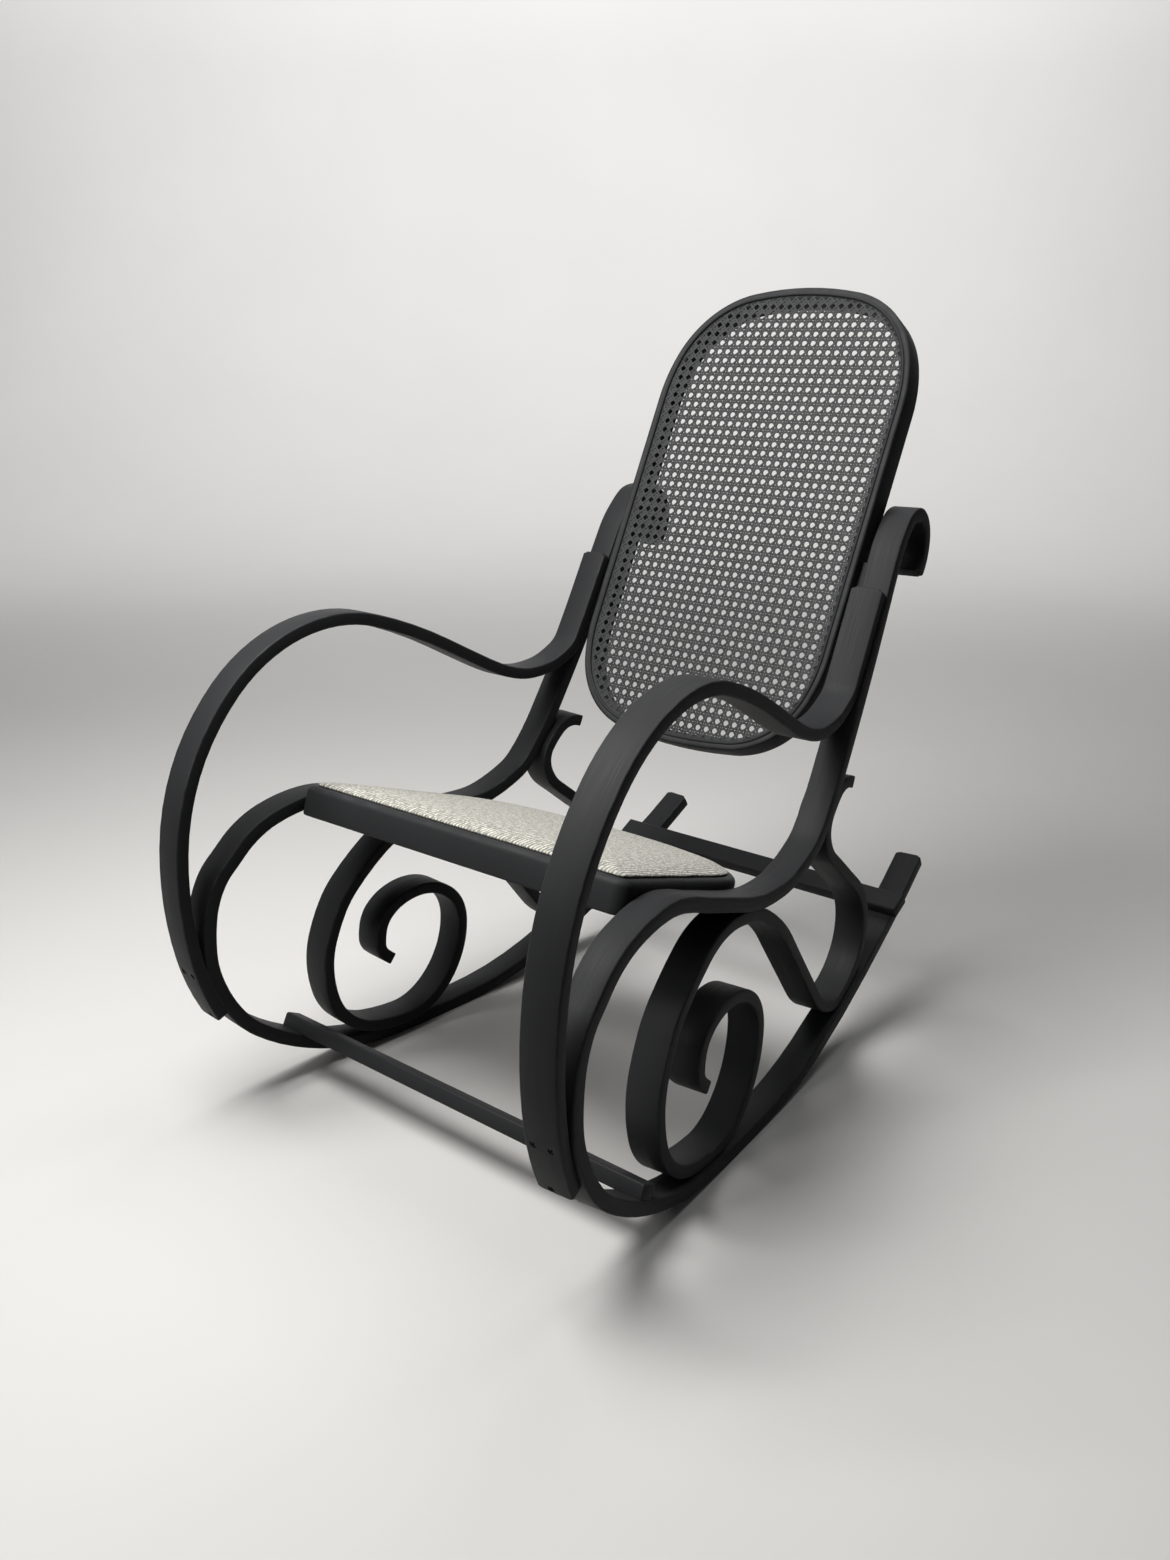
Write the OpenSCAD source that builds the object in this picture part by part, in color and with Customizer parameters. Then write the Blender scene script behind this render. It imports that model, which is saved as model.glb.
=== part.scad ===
// Rocking chair of bent, laminated wood with a caned back and an upholstered seat.
// Each side frame is three bent strips: a main strip that is rocker, front loop,
// seat bearer and back post in one, an arm strip on it and a scroll strip in it.
// The side frames toe in towards the rear and lean in a little at the top.
// Origin: on the floor, midway between the rockers, where they touch it.
// The front of the chair faces -Y, +Z is up. Left is -X, as seen from the front.

/* [Side frames] */
// Width over both rockers where they touch the floor
base_w = 581; // [500:1:660]
// Length of a side frame, from its front loop to the rocker's tail
frame_len = 945; // [820:5:1060]
// Width of the main strip, across the chair
strip_w = 40; // [32:1:46]
// Width of the arm strip
arm_w = 44; // [38:1:46]
// Width of the scroll strip
scroll_w = 44; // [38:1:46]
// How far the scroll strip stands inward of the middle of the main strip
scroll_in = 7; // [2:0.5:8]
// Thickness of the main strip
main_t = 18; // [15:0.5:21]
// Thickness of the arm strip
arm_t = 16; // [13:0.5:19]
// Thickness of the scroll strip
scroll_t = 16; // [13:0.5:19]
// Toe-in of the side frames towards the rear, degrees
toe = 4.7; // [3.5:0.1:5.5]
// Inward lean of the side frames, degrees
lean = 0.6; // [0:0.1:1.2]
// How far the arm strip's foot stands inward of the middle of the main strip
arm_in = 8; // [2:0.5:9]
// Inward turn of the arm strip towards its rear end, degrees
arm_turn = 1.1; // [0.6:0.1:1.2]
// Outward spread of the arm strip at its top, degrees
arm_spread = 2; // [1.6:0.1:2.4]
// Straight tail of the arm strip below its joint with the loop
arm_tail = 10; // [8:1:24]
// Glue line between two strips that are fixed to each other
glue = 0.2; // [0.1:0.05:0.4]

/* [Stretchers] */
// Depth of the front stretcher, front to back
front_bar_w = 24; // [18:1:36]
// Height of the front stretcher
front_bar_t = 20; // [14:1:26]
// Width of the flat rear stretcher, along the rockers
rear_bar_w = 34; // [26:1:44]
// Thickness of the rear stretcher
rear_bar_t = 18; // [13:1:22]
// How far the rear stretcher runs past each rocker
rear_bar_over = 9; // [0:1:18]
// Bevel along the stretchers' top edges
bar_bevel = 3; // [1:0.5:5]

/* [Seat] */
// Depth of the seat ring, front to back along its slope
seat_depth = 378; // [340:2:420]
// Height of the seat ring
ring_h = 40; // [32:1:48]
// Thickness of the seat ring
ring_t = 20; // [14:1:24]
// How far the ring's top stands above the main strip
seat_rise = 14; // [6:1:20]
// How far the ring's front stands before the crest of the main strip
seat_lead = 30; // [10:1:50]
// Corner radius at the front of the seat ring
ring_r = 42; // [28:1:60]
// Length of the ring's straight sides, from its front
ring_side = 230; // [180:5:270]
// Gap between the seat ring and the side frames
seat_gap = 1.2; // [0.8:0.1:2]
// Thickness of the seat board
board_t = 10; // [6:1:14]
// Bare edge of the ring round the pad
pad_margin = 7; // [4:0.5:12]
// Height of the pad at its edge
pad_edge = 9; // [6:1:14]
// Rise of the pad's crown above its edge
pad_crown = 11; // [5:1:20]

/* [Back] */
// Height of the back hoop, along its slope
hoop_h = 700; // [620:5:760]
// Depth of the hoop, front to back
hoop_d = 38; // [30:1:46]
// Thickness of the hoop, seen from the front
hoop_t = 18; // [16:1:24]
// Outer corner radius of the hoop
hoop_r = 148; // [110:2:170]
// Angle of the back above the horizontal, degrees
back_angle = 63; // [60:0.5:66]
// How far the hoop's front stands before the posts
hoop_proud = 14; // [8:1:20]
// How far the hoop rises above the reference point of the posts
hoop_rise = 388; // [340:2:420]
// Gap between the hoop and the posts where they are closest
hoop_gap = 0.6; // [0.3:0.1:1.5]
// Width of the ledge that carries the cane
cane_lip = 11; // [9:0.5:13]
// Depth of the ledge below the hoop's front
cane_sink = 4; // [3:0.5:6]
// Thickness of the cane web
cane_t = 1.5; // [1:0.5:3]
// Pitch of the openings in the cane web
cane_pitch = 34; // [30:0.5:44]
// Width of one opening in the cane web
cane_hole = 22; // [14:0.5:24]
// Width of the spline round the cane
spline_w = 5; // [4:0.5:6]

/* [Screws] */
// Shank radius of the screws
screw_r = 2; // [1.5:0.25:2.5]
// Head radius of the screws
head_r = 4; // [3.5:0.25:5]
// Height of a screw head
head_h = 2.5; // [2:0.25:3]
// Clearance between a screw and its hole
screw_gap = 0.1; // [0.05:0.05:0.3]
// Spacing of the two upper arm screws across the strip
arm_screw_gap = 22; // [16:1:24]

/* [Hidden] */
paint = [0.2, 0.2, 0.21];
step = 5;

// Shape of the strips as stations on their centre lines: distance back, height
// and heading in degrees. Biarcs join them, so every joint is tangent. The rocker
// has a short flat where it touches the floor.
contact_y = 25;
k = frame_len/945;
function st(list) = [for (s = list) [k*(s[0] - contact_y), k*s[1], s[2]]];

rear_st = st([[60, 9, 0], [386, 94, 25], [592, 202, 32]]);
front_st = st([[-5, 9, 180], [-110, 15, 173], [-174, 32, 160], [-294, 101, 139],
    [-336, 159, 115], [-354, 231, 90], [-335, 319, 60], [-301, 356, 45], [-183, 398, 0]]);
bearer_st = st([[-183, 398, 0], [-107, 379, -23], [-61, 362, -20], [33, 331, -13],
    [98, 325, 0], [157, 337, 20]]);
post_st = st([[157, 337, 20], [206, 364, 45], [253, 424, 57.8], [318, 532, 60],
    [403, 691, 62.5]]);
hook_st = st([[403, 691, 62.5], [434, 731, 45], [452, 744, 20], [471, 747, 0],
    [497, 735, -45], [508, 707, -90], [489, 664, -138]]);
arm_mid = st([[-384, 300, 92], [-363, 448, 70], [-289, 563, 45], [-132, 629, 0],
    [-17, 599, -23], [108, 535, -28], [157, 512, -20], [208, 502, 0], [262, 511, 22]]);
curl_st = st([[-72, 128, 143], [-94, 158, 90], [-80, 200, 45], [-23, 221, 0],
    [38, 196, -45], [58, 146, -90], [21, 56, -135]]);
ring_st = st([[-153, 62, 135], [-184, 149, 90], [-158, 233, 60], [-137, 260, 45],
    [-23, 322, 0]]);
fall_st = st([[97, 276, -40], [130, 243, -52.4], [226, 120, -52.4], [285, 80, -13]]);
loop_st = st([[386, 168, 90], [342, 247, 143], [261, 310, 143]]);
tip_st = st([[290, 411, 0], [313, 405, -28]]);

// Places on the main strip, as distances back, where other pieces sit
arm_foot_y = k*(-336 - contact_y);
arm_seat_y = k*(318 - contact_y);
arm_end_y = k*(382 - contact_y);
curl_y = k*(-49 - contact_y);
loop_y = k*(335 - contact_y);
loop_top_y = k*(230 - contact_y);
front_bar_y = k*(-226 - contact_y);
rear_bar_y = k*(495 - contact_y);

function wrap(a) = a - 360*round(a/360);
// Points along one arc from p with heading h to q
function arc(p, h, q) =
    let (c = [q[0] - p[0], q[1] - p[1]],
        a = wrap(atan2(c[1], c[0]) - h),
        n = max(1, ceil(abs(2*a)/step)))
    [for (i = [1 : n])
        let (u = i/n, s = abs(a) < 0.01 ? u : sin(a*u)/sin(a))
        [p[0] + norm(c)*s*cos(h + a*u), p[1] + norm(c)*s*sin(h + a*u), h + 2*a*u]];
// Two tangent arcs from station s to station e
function biarc(s, e) =
    let (t1 = [cos(s[2]), sin(s[2])], t2 = [cos(e[2]), sin(e[2])],
        v = [e[0] - s[0], e[1] - s[1]], t = t1 + t2,
        c = 2*(1 - t1*t2),
        d = c < 0.000001 ? v*v/(2*(v*t)) : (sqrt(pow(v*t, 2) + c*(v*v)) - v*t)/c,
        m = ([s[0] + e[0], s[1] + e[1]] + d*(t1 - t2))/2,
        first = arc(s, s[2], m))
    concat(first, arc(m, first[len(first) - 1][2], e));
function chain(list) = concat([list[0]],
    [for (i = [0 : len(list) - 2]) each biarc(list[i], list[i + 1])]);
function beside(s, o) = [s[0] - o*sin(s[2]), s[1] + o*cos(s[2]), s[2]];
function ahead(s, d) = [s[0] + d*cos(s[2]), s[1] + d*sin(s[2]), s[2]];
function back_of(path) = [for (i = [len(path) - 1 : -1 : 0])
    [path[i][0], path[i][1], path[i][2] + 180]];
// Station of a path at the distance back y0
function at_y(path, y0) =
    let (hit = [for (i = [0 : len(path) - 2])
        if ((path[i][0] - y0)*(path[i + 1][0] - y0) <= 0) i],
        i = hit[0], u = (y0 - path[i][0])/(path[i + 1][0] - path[i][0]))
    [for (j = [0 : 2]) path[i][j]*(1 - u) + path[i + 1][j]*u];
// Station of a path at the height z0
function at_z(path, z0) =
    let (hit = [for (i = [0 : len(path) - 2])
        if ((path[i][1] - z0)*(path[i + 1][1] - z0) <= 0) i],
        i = hit[0], u = (z0 - path[i][1])/(path[i + 1][1] - path[i][1]))
    [for (j = [0 : 2]) path[i][j]*(1 - u) + path[i + 1][j]*u];
function flat(path) = [for (p = path) [p[0], p[1]]];
function strip_shape(path, t) = concat(flat([for (p = path) beside(p, t/2)]),
    flat([for (i = [len(path) - 1 : -1 : 0]) beside(path[i], -t/2)]));

rear_path = chain(rear_st);
front_path = chain(front_st);
bearer_path = chain(bearer_st);
post_path = chain(post_st);
main_path = concat(back_of(rear_path), front_path,
    [for (i = [1 : len(bearer_path) - 1]) bearer_path[i]],
    [for (i = [1 : len(post_path) - 1]) post_path[i]],
    [for (p = [for (q = chain(hook_st)) q]) if (p != hook_st[0]) p]);

arm_off = (main_t + arm_t)/2 + glue;
arm_foot = beside(at_y(front_path, arm_foot_y), arm_off);
arm_rear = beside(at_y(post_path, arm_seat_y), arm_off);
arm_end = beside(at_y(post_path, arm_end_y), arm_off);
arm_path = chain(concat([ahead(arm_foot, -arm_tail), arm_foot], arm_mid,
    [arm_rear, arm_end]));

scroll_off = (main_t + scroll_t)/2 + glue;
curl_foot = beside(at_y(front_path, curl_y), -scroll_off);
bearer_touch = beside(at_y(bearer_path, k*(33 - contact_y)), -scroll_off);
loop_foot = beside(at_y(rear_path, loop_y), scroll_off);
loop_top = beside(at_y(post_path, loop_top_y), -scroll_off);
scroll_path = chain(concat(curl_st, [curl_foot], ring_st, [bearer_touch], fall_st,
    [loop_foot], loop_st, [loop_top], tip_st));

// Side frames stand on the inner edges of their strips
lift = strip_w/2*sin(lean);
frame_x = base_w/2 - strip_w/2;
// Inner face of the right side frame at a distance back and a height
function inner_x(y, z) = frame_x - strip_w/2/(cos(lean)*cos(toe))
    - y*tan(toe) - (z - lift)*tan(lean)/cos(toe);
function outer_x(y, z) = inner_x(y, z) + strip_w/(cos(lean)*cos(toe));

module right_side() {
    translate([frame_x, 0, lift])
        rotate([0, -lean, toe])
            children();
}
module left_side() {
    mirror([1, 0, 0]) right_side() children();
}
// A side outline, back and up, given the strips' width
module slab(shape, w) {
    rotate([90, 0, 90])
        translate([0, 0, -w/2])
            linear_extrude(height = w)
                polygon(shape);
}
// Turns the local frame of a side view station: +Y ahead along it, +Z to its left
module at_station(s) {
    translate([0, s[0], s[1]]) rotate([s[2], 0, 0]) children();
}
// The arm strip pivots outward about its foot
module arm_turned() {
    translate([-arm_in, arm_foot[0], arm_foot[1]])
        rotate([0, arm_spread, arm_turn])
            translate([0, -arm_foot[0], -arm_foot[1]])
                children();
}

// Arm screws: two abreast and one below them, from the front of the loop. Each
// mark is its place across the strip and its height above the strip's foot.
foot_depth = arm_t + main_t*0.7;
arm_screw_in = 2;
arm_marks = [[arm_screw_gap/2 - arm_screw_in, k*53], [-arm_screw_gap/2 - arm_screw_in, k*53],
    [-2*arm_screw_in, -k*4]];
module arm_marked() {
    arm_turned()
        for (m = arm_marks)
            at_station(at_z(arm_path, arm_foot[1] + m[1]))
                translate([m[0], 0, arm_t/2])
                    rotate([180, 0, 0])
                        children();
}
module screw(depth, gap) {
    cylinder(r = head_r + gap, h = head_h, $fn = 32);
    cylinder(r = screw_r + gap, h = depth, $fn = 24);
}
// A screw hole with its head sunk and its mouth left open
module screw_hole(depth) {
    translate([0, 0, -1]) cylinder(r = head_r + screw_gap, h = head_h + 1, $fn = 32);
    cylinder(r = screw_r + screw_gap, h = depth + screw_gap, $fn = 24);
}

module main_strip() {
    color(paint)
        difference() {
            slab(strip_shape(main_path, main_t), strip_w);
            arm_marked() screw_hole(foot_depth);
        }
}
// The arm strip's back is planed flat to the main strip where they are glued
module arm_strip() {
    color(paint)
        difference() {
            arm_turned() slab(strip_shape(arm_path, arm_t), arm_w);
            slab(strip_shape(main_path, main_t + 2*glue), strip_w + 2*arm_in + 6);
            arm_marked() screw_hole(foot_depth);
        }
}
module scroll_strip() {
    translate([-scroll_in, 0, 0]) slab(strip_shape(scroll_path, scroll_t), scroll_w);
}
module arm_screws() {
    color([0.12, 0.12, 0.12]) arm_marked() screw(foot_depth, 0);
}

module left_main_strip() { left_side() main_strip(); }
module right_main_strip() { right_side() main_strip(); }
module left_arm_strip() { left_side() arm_strip(); }
module right_arm_strip() { right_side() arm_strip(); }
module left_scroll_strip() { mirror([1, 0, 0]) right_scroll_strip(); }
// The scroll strip is notched where it passes under the seat ring
module right_scroll_strip() {
    color(paint)
        difference() {
            right_side() scroll_strip();
            on_seat()
                translate([0, 0, -ring_h - seat_gap])
                    linear_extrude(height = ring_h)
                        polygon(seat_outline(-seat_gap/2));
        }
}
module left_arm_screws() { left_side() arm_screws(); }
module right_arm_screws() { right_side() arm_screws(); }

// Stretchers lie across both rockers, tilted as the rockers are
front_seat = beside(at_y(front_path, front_bar_y), -main_t/2 - glue);
rear_seat = beside(at_y(rear_path, rear_bar_y), main_t/2 + glue);
function bar_shape(w, t) = [[-w/2, 0], [w/2, 0], [w/2, t - bar_bevel],
    [w/2 - bar_bevel, t], [bar_bevel - w/2, t], [-w/2, t - bar_bevel]];
module bar(s, turn, w, t, half) {
    translate([0, s[0], s[1] + lift])
        rotate([turn, 0, 0])
            rotate([90, 0, 90])
                translate([0, 0, -half])
                    linear_extrude(height = 2*half)
                        polygon(bar_shape(w, t));
}
module front_stretcher() {
    color(paint)
        bar(front_seat, front_seat[2] - 180, front_bar_w, front_bar_t,
            outer_x(front_seat[0] + front_bar_w/2, front_seat[1]));
}
module rear_stretcher() {
    color(paint)
        bar(rear_seat, rear_seat[2], rear_bar_w, rear_bar_t,
            outer_x(rear_seat[0], rear_seat[1]) + rear_bar_over);
}

// The seat's own frame: x across, y back along the slope from the ring's front,
// z up from the ring's top. Its slope is that of the bearers under it.
crest = front_st[8];
dip = bearer_st[3];
seat_tilt = atan((crest[1] - dip[1])/(dip[0] - crest[0]));
seat_top = main_t/2 + seat_rise;
module on_seat() {
    translate([0, crest[0], crest[1] + lift])
        rotate([-seat_tilt, 0, 0])
            translate([0, -seat_lead, seat_top])
                children();
}
function seat_y(t, n) = crest[0] + (t - seat_lead)*cos(seat_tilt) + (n + seat_top)*sin(seat_tilt);
function seat_z(t, n) = crest[1] - (t - seat_lead)*sin(seat_tilt) + (n + seat_top)*cos(seat_tilt);
// Half width of the ring between the side frames
function ring_half(t) = min(inner_x(seat_y(t, 0), seat_z(t, 0)),
    inner_x(seat_y(t, -ring_h), seat_z(t, -ring_h))) - seat_gap;
ring_front_x = ring_half(ring_r);
ring_rear_x = ring_half(ring_side);
ring_turn = atan((ring_front_x - ring_rear_x)/(ring_side - ring_r));
ring_half_path = chain([[0, 0, 0], [ring_front_x - ring_r, 0, 0],
    [ring_front_x, ring_r, 90 + ring_turn], [ring_rear_x, ring_side, 90 + ring_turn],
    [0, seat_depth, 180]]);
// Closed outline of the seat, drawn in by o
function seat_outline(o) =
    let (h = [for (p = ring_half_path) beside(p, o)], n = len(h))
    concat([for (i = [0 : n - 1]) [h[i][0], h[i][1]]],
        [for (i = [n - 2 : -1 : 1]) [-h[i][0], h[i][1]]]);

seat_marks = [ring_r + 25, ring_side - 20];
screw_drop = seat_rise + main_t/2;
module seat_marked() {
    for (t = seat_marks)
        on_seat()
            translate([ring_half(t) - ring_t, t, -screw_drop])
                rotate([0, 90, -ring_turn])
                    children();
}
seat_screw_len = ring_t - 1;
module seat_ring() {
    color(paint)
        difference() {
            on_seat()
                translate([0, 0, -ring_h])
                    linear_extrude(height = ring_h)
                        difference() {
                            polygon(seat_outline(0));
                            polygon(seat_outline(ring_t));
                        }
            seat_marked() screw_hole(seat_screw_len);
            mirror([1, 0, 0]) seat_marked() screw_hole(seat_screw_len);
        }
}
module seat_screws() {
    color([0.55, 0.55, 0.56]) seat_marked() screw(seat_screw_len, 0);
}
module left_seat_screws() { mirror([1, 0, 0]) seat_screws(); }
module right_seat_screws() { seat_screws(); }
module seat_board() {
    color([0.72, 0.6, 0.42])
        on_seat()
            translate([0, 0, -board_t - glue])
                linear_extrude(height = board_t)
                    polygon(seat_outline(ring_t + 0.5));
}

// The pad: drawn in at its foot, fullest a little above it, then a soft crown
pad_lift = 0.3;
pad_outline = seat_outline(pad_margin);
pad_centre = [0, seat_depth*0.48];
pad_rows = [[0.985, 0], [1, pad_edge*0.35], [0.995, pad_edge*0.7], [0.975, pad_edge],
    [0.93, pad_edge + pad_crown*0.28], [0.8, pad_edge + pad_crown*0.6],
    [0.55, pad_edge + pad_crown*0.86], [0.28, pad_edge + pad_crown*0.97]];
pad_n = len(pad_outline);
pad_points = concat([for (r = pad_rows) each [for (p = pad_outline)
    [pad_centre[0] + (p[0] - pad_centre[0])*r[0], pad_centre[1] + (p[1] - pad_centre[1])*r[0], r[1]]]],
    [[pad_centre[0], pad_centre[1], 0], [pad_centre[0], pad_centre[1], pad_edge + pad_crown]]);
pad_faces = concat(
    [for (r = [0 : len(pad_rows) - 2]) each [for (i = [0 : pad_n - 1])
        [r*pad_n + i, (r + 1)*pad_n + i, (r + 1)*pad_n + (i + 1)%pad_n]]],
    [for (r = [0 : len(pad_rows) - 2]) each [for (i = [0 : pad_n - 1])
        [r*pad_n + i, (r + 1)*pad_n + (i + 1)%pad_n, r*pad_n + (i + 1)%pad_n]]],
    [for (i = [0 : pad_n - 1]) [i, (i + 1)%pad_n, len(pad_rows)*pad_n]],
    [for (i = [0 : pad_n - 1]) [(len(pad_rows) - 1)*pad_n + (i + 1)%pad_n,
        (len(pad_rows) - 1)*pad_n + i, len(pad_rows)*pad_n + 1]]);
module seat_pad() {
    color([0.8, 0.79, 0.75])
        on_seat()
            translate([0, 0, pad_lift])
                polyhedron(points = pad_points, faces = pad_faces);
}

// The back's own frame: x across, y up along the slope from the posts' reference
// point, z forward out of the hoop's front face
post_ref = post_st[4];
hoop_front = main_t/2 + hoop_proud;
module on_back() {
    translate([0, post_ref[0], post_ref[1] + lift])
        rotate([back_angle, 0, 0])
            translate([0, 0, hoop_front])
                children();
}
function back_y(s, n) = post_ref[0] + s*cos(back_angle) - (n + hoop_front)*sin(back_angle);
function back_z(s, n) = post_ref[1] + s*sin(back_angle) + (n + hoop_front)*cos(back_angle);
// The posts come closest to the hoop at the shoulder of their hooks
shoulder = hook_st[2];
hoop_half = inner_x(shoulder[0], shoulder[1] + main_t/2) - hoop_gap;
hoop_mid = hoop_rise - hoop_h/2;
module soft_rect(half_w, h, r) {
    square([2*half_w - 2*r, h], center = true);
    square([2*half_w, h - 2*r], center = true);
    for (x = [-1, 1], y = [-1, 1])
        translate([x*(half_w - r), y*(h/2 - r)])
            circle(r = r, $fn = 72);
}
// A plate between the depths a and b behind the hoop's front, drawn in by o
module hoop_plate(o, a, b) {
    on_back()
        translate([0, hoop_mid, -b])
            linear_extrude(height = b - a)
                soft_rect(hoop_half - o, hoop_h - 2*o, hoop_r - o);
}

// Spacers fill the wedge between the hoop and the posts at the lower screws
spacer_s = -30;
spacer_l = 44;
spacer_w = 16;
spacer_n = -hoop_front - main_t/2 + 10;
hoop_marks = [spacer_s, 24];
hoop_screw_len = hoop_t - 1;
module hoop_marked() {
    for (s = hoop_marks)
        on_back()
            translate([hoop_half - hoop_t, s, spacer_n + 2])
                rotate([0, 90, 0])
                    children();
}
module back_hoop() {
    color(paint)
        difference() {
            hoop_plate(0, 0, hoop_d);
            hoop_plate(hoop_t, -1, hoop_d + 1);
            hoop_plate(hoop_t - cane_lip, -1, cane_sink);
            hoop_marked() screw_hole(hoop_screw_len);
            mirror([1, 0, 0]) hoop_marked() screw_hole(hoop_screw_len);
        }
}
module hoop_screws() {
    color([0.55, 0.55, 0.56]) hoop_marked() screw(hoop_screw_len, 0);
}
module left_hoop_screws() { mirror([1, 0, 0]) hoop_screws(); }
module right_hoop_screws() { hoop_screws(); }

// A tapered block: one side on the hoop, the other on the post's inner face
module hoop_spacer() {
    color(paint)
        intersection() {
            on_back()
                translate([hoop_half + glue, spacer_s - spacer_l/2, spacer_n - spacer_w/2])
                    cube([40, spacer_l, spacer_w]);
            right_side()
                translate([-strip_w/2 - 60 - glue, -k*100, 0])
                    cube([60, k*800, k*1200]);
        }
}
module left_hoop_spacer() { mirror([1, 0, 0]) hoop_spacer(); }
module right_hoop_spacer() { hoop_spacer(); }

// The cane web: a thin sheet on the ledge with rows of eight-sided openings
web_gap = 0.3;
web_o = hoop_t - cane_lip + web_gap;
web_half = hoop_half - hoop_t;
web_cols = floor((2*web_half - cane_hole)/cane_pitch) + 1;
web_rows = floor((hoop_h - 2*hoop_t - cane_hole)/cane_pitch) + 1;
web_r = hoop_r - hoop_t;
// Whether an opening at x, y lies inside the hoop's inner corner arcs
function in_web(x, y) =
    let (cx = abs(x) - (web_half - web_r), cy = abs(y) - (hoop_h/2 - hoop_t - web_r))
    cx <= 0 || cy <= 0 || norm([cx, cy]) < web_r - cane_hole*0.55;
module cane_web() {
    color([0.36, 0.37, 0.38])
        difference() {
            hoop_plate(web_o, cane_sink - cane_t, cane_sink);
            on_back()
                translate([0, hoop_mid, -cane_sink - 1])
                    for (i = [0 : web_cols - 1], j = [0 : web_rows - 1])
                        let (x = (i - (web_cols - 1)/2)*cane_pitch,
                            y = (j - (web_rows - 1)/2)*cane_pitch)
                        if (in_web(x, y))
                            translate([x, y, 0])
                                rotate([0, 0, 22.5])
                                    cylinder(r = cane_hole/2, h = cane_t + 2, $fn = 8);
        }
}
// The spline beds the web's edge and stands flush with the hoop's front
module cane_spline() {
    color(paint)
        difference() {
            hoop_plate(web_o, -0.6, cane_sink - cane_t - 0.05);
            hoop_plate(web_o + spline_w, -2, cane_sink);
        }
}

left_main_strip();
right_main_strip();
left_arm_strip();
right_arm_strip();
left_scroll_strip();
right_scroll_strip();
front_stretcher();
rear_stretcher();
seat_ring();
seat_board();
seat_pad();
back_hoop();
cane_web();
cane_spline();
left_hoop_spacer();
right_hoop_spacer();
left_arm_screws();
right_arm_screws();
left_seat_screws();
right_seat_screws();
left_hoop_screws();
right_hoop_screws();
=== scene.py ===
"""Looks of a rocking chair of bent, laminated wood with a caned back and a padded seat.

Sizes are in metres. The chair faces -Y, +Z is up and the origin is on the floor,
midway between the rockers. Each bent strip is swept along the same stations that
the solid model uses, so a piece lies where its solid is.
"""

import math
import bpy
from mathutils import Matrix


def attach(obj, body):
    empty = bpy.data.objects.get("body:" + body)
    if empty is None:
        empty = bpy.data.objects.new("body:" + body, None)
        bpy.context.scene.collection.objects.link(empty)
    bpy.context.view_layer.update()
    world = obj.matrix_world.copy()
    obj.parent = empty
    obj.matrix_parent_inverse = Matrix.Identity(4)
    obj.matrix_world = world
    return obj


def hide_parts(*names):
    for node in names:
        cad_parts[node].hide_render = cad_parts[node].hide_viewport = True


bl_info = {
    "name": "Bentwood rocking chair",
    "version": (1, 0, 0),
    "blender": (4, 5, 0),
    "location": "3D View > Sidebar > Rocker",
    "description": "Dresses the solids of a bentwood rocking chair with finished pieces",
    "category": "Object",
}

import bpy
import numpy as np
from mathutils import Matrix, Vector

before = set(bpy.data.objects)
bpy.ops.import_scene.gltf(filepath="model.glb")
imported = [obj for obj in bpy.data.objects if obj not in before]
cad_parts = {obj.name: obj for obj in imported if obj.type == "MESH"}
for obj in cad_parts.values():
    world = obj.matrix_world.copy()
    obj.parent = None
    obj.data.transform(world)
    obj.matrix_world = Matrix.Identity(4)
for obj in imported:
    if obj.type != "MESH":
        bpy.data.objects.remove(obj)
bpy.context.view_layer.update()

MM = 0.001
CONTACT = 25
REAR = [(60, 9, 0), (386, 94, 25), (592, 202, 32)]
FRONT = [(-5, 9, 180), (-110, 15, 173), (-174, 32, 160), (-294, 101, 139), (-336, 159, 115),
         (-354, 231, 90), (-335, 319, 60), (-301, 356, 45), (-183, 398, 0)]
BEARER = [(-183, 398, 0), (-107, 379, -23), (-61, 362, -20), (33, 331, -13), (98, 325, 0),
          (157, 337, 20)]
POST = [(157, 337, 20), (206, 364, 45), (253, 424, 57.8), (318, 532, 60), (403, 691, 62.5)]
HOOK = [(403, 691, 62.5), (434, 731, 45), (452, 744, 20), (471, 747, 0), (497, 735, -45),
        (508, 707, -90), (489, 664, -138)]
ARM = [(-384, 300, 92), (-363, 448, 70), (-289, 563, 45), (-132, 629, 0), (-17, 599, -23),
       (108, 535, -28), (157, 512, -20), (208, 502, 0), (262, 511, 22)]
CURL = [(-72, 128, 143), (-94, 158, 90), (-80, 200, 45), (-23, 221, 0), (38, 196, -45),
        (58, 146, -90), (21, 56, -135)]
RING = [(-153, 62, 135), (-184, 149, 90), (-158, 233, 60), (-137, 260, 45), (-23, 322, 0)]
FALL = [(97, 276, -40), (130, 243, -52.4), (226, 120, -52.4), (285, 80, -13)]
LOOP = [(386, 168, 90), (342, 247, 143), (261, 310, 143)]
TIP = [(290, 411, 0), (313, 405, -28)]
FOOT_Y, SEAT_Y, END_Y, CURL_Y = -336, 318, 382, -49
TOUCH_Y, LOOP_Y, LOOP_TOP_Y = 33, 335, 230
FRONT_BAR_Y, REAR_BAR_Y = -226, 495
CREST, DIP, POST_TOP, SHOULDER = FRONT[8], BEARER[3], POST[4], HOOK[2]

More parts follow.
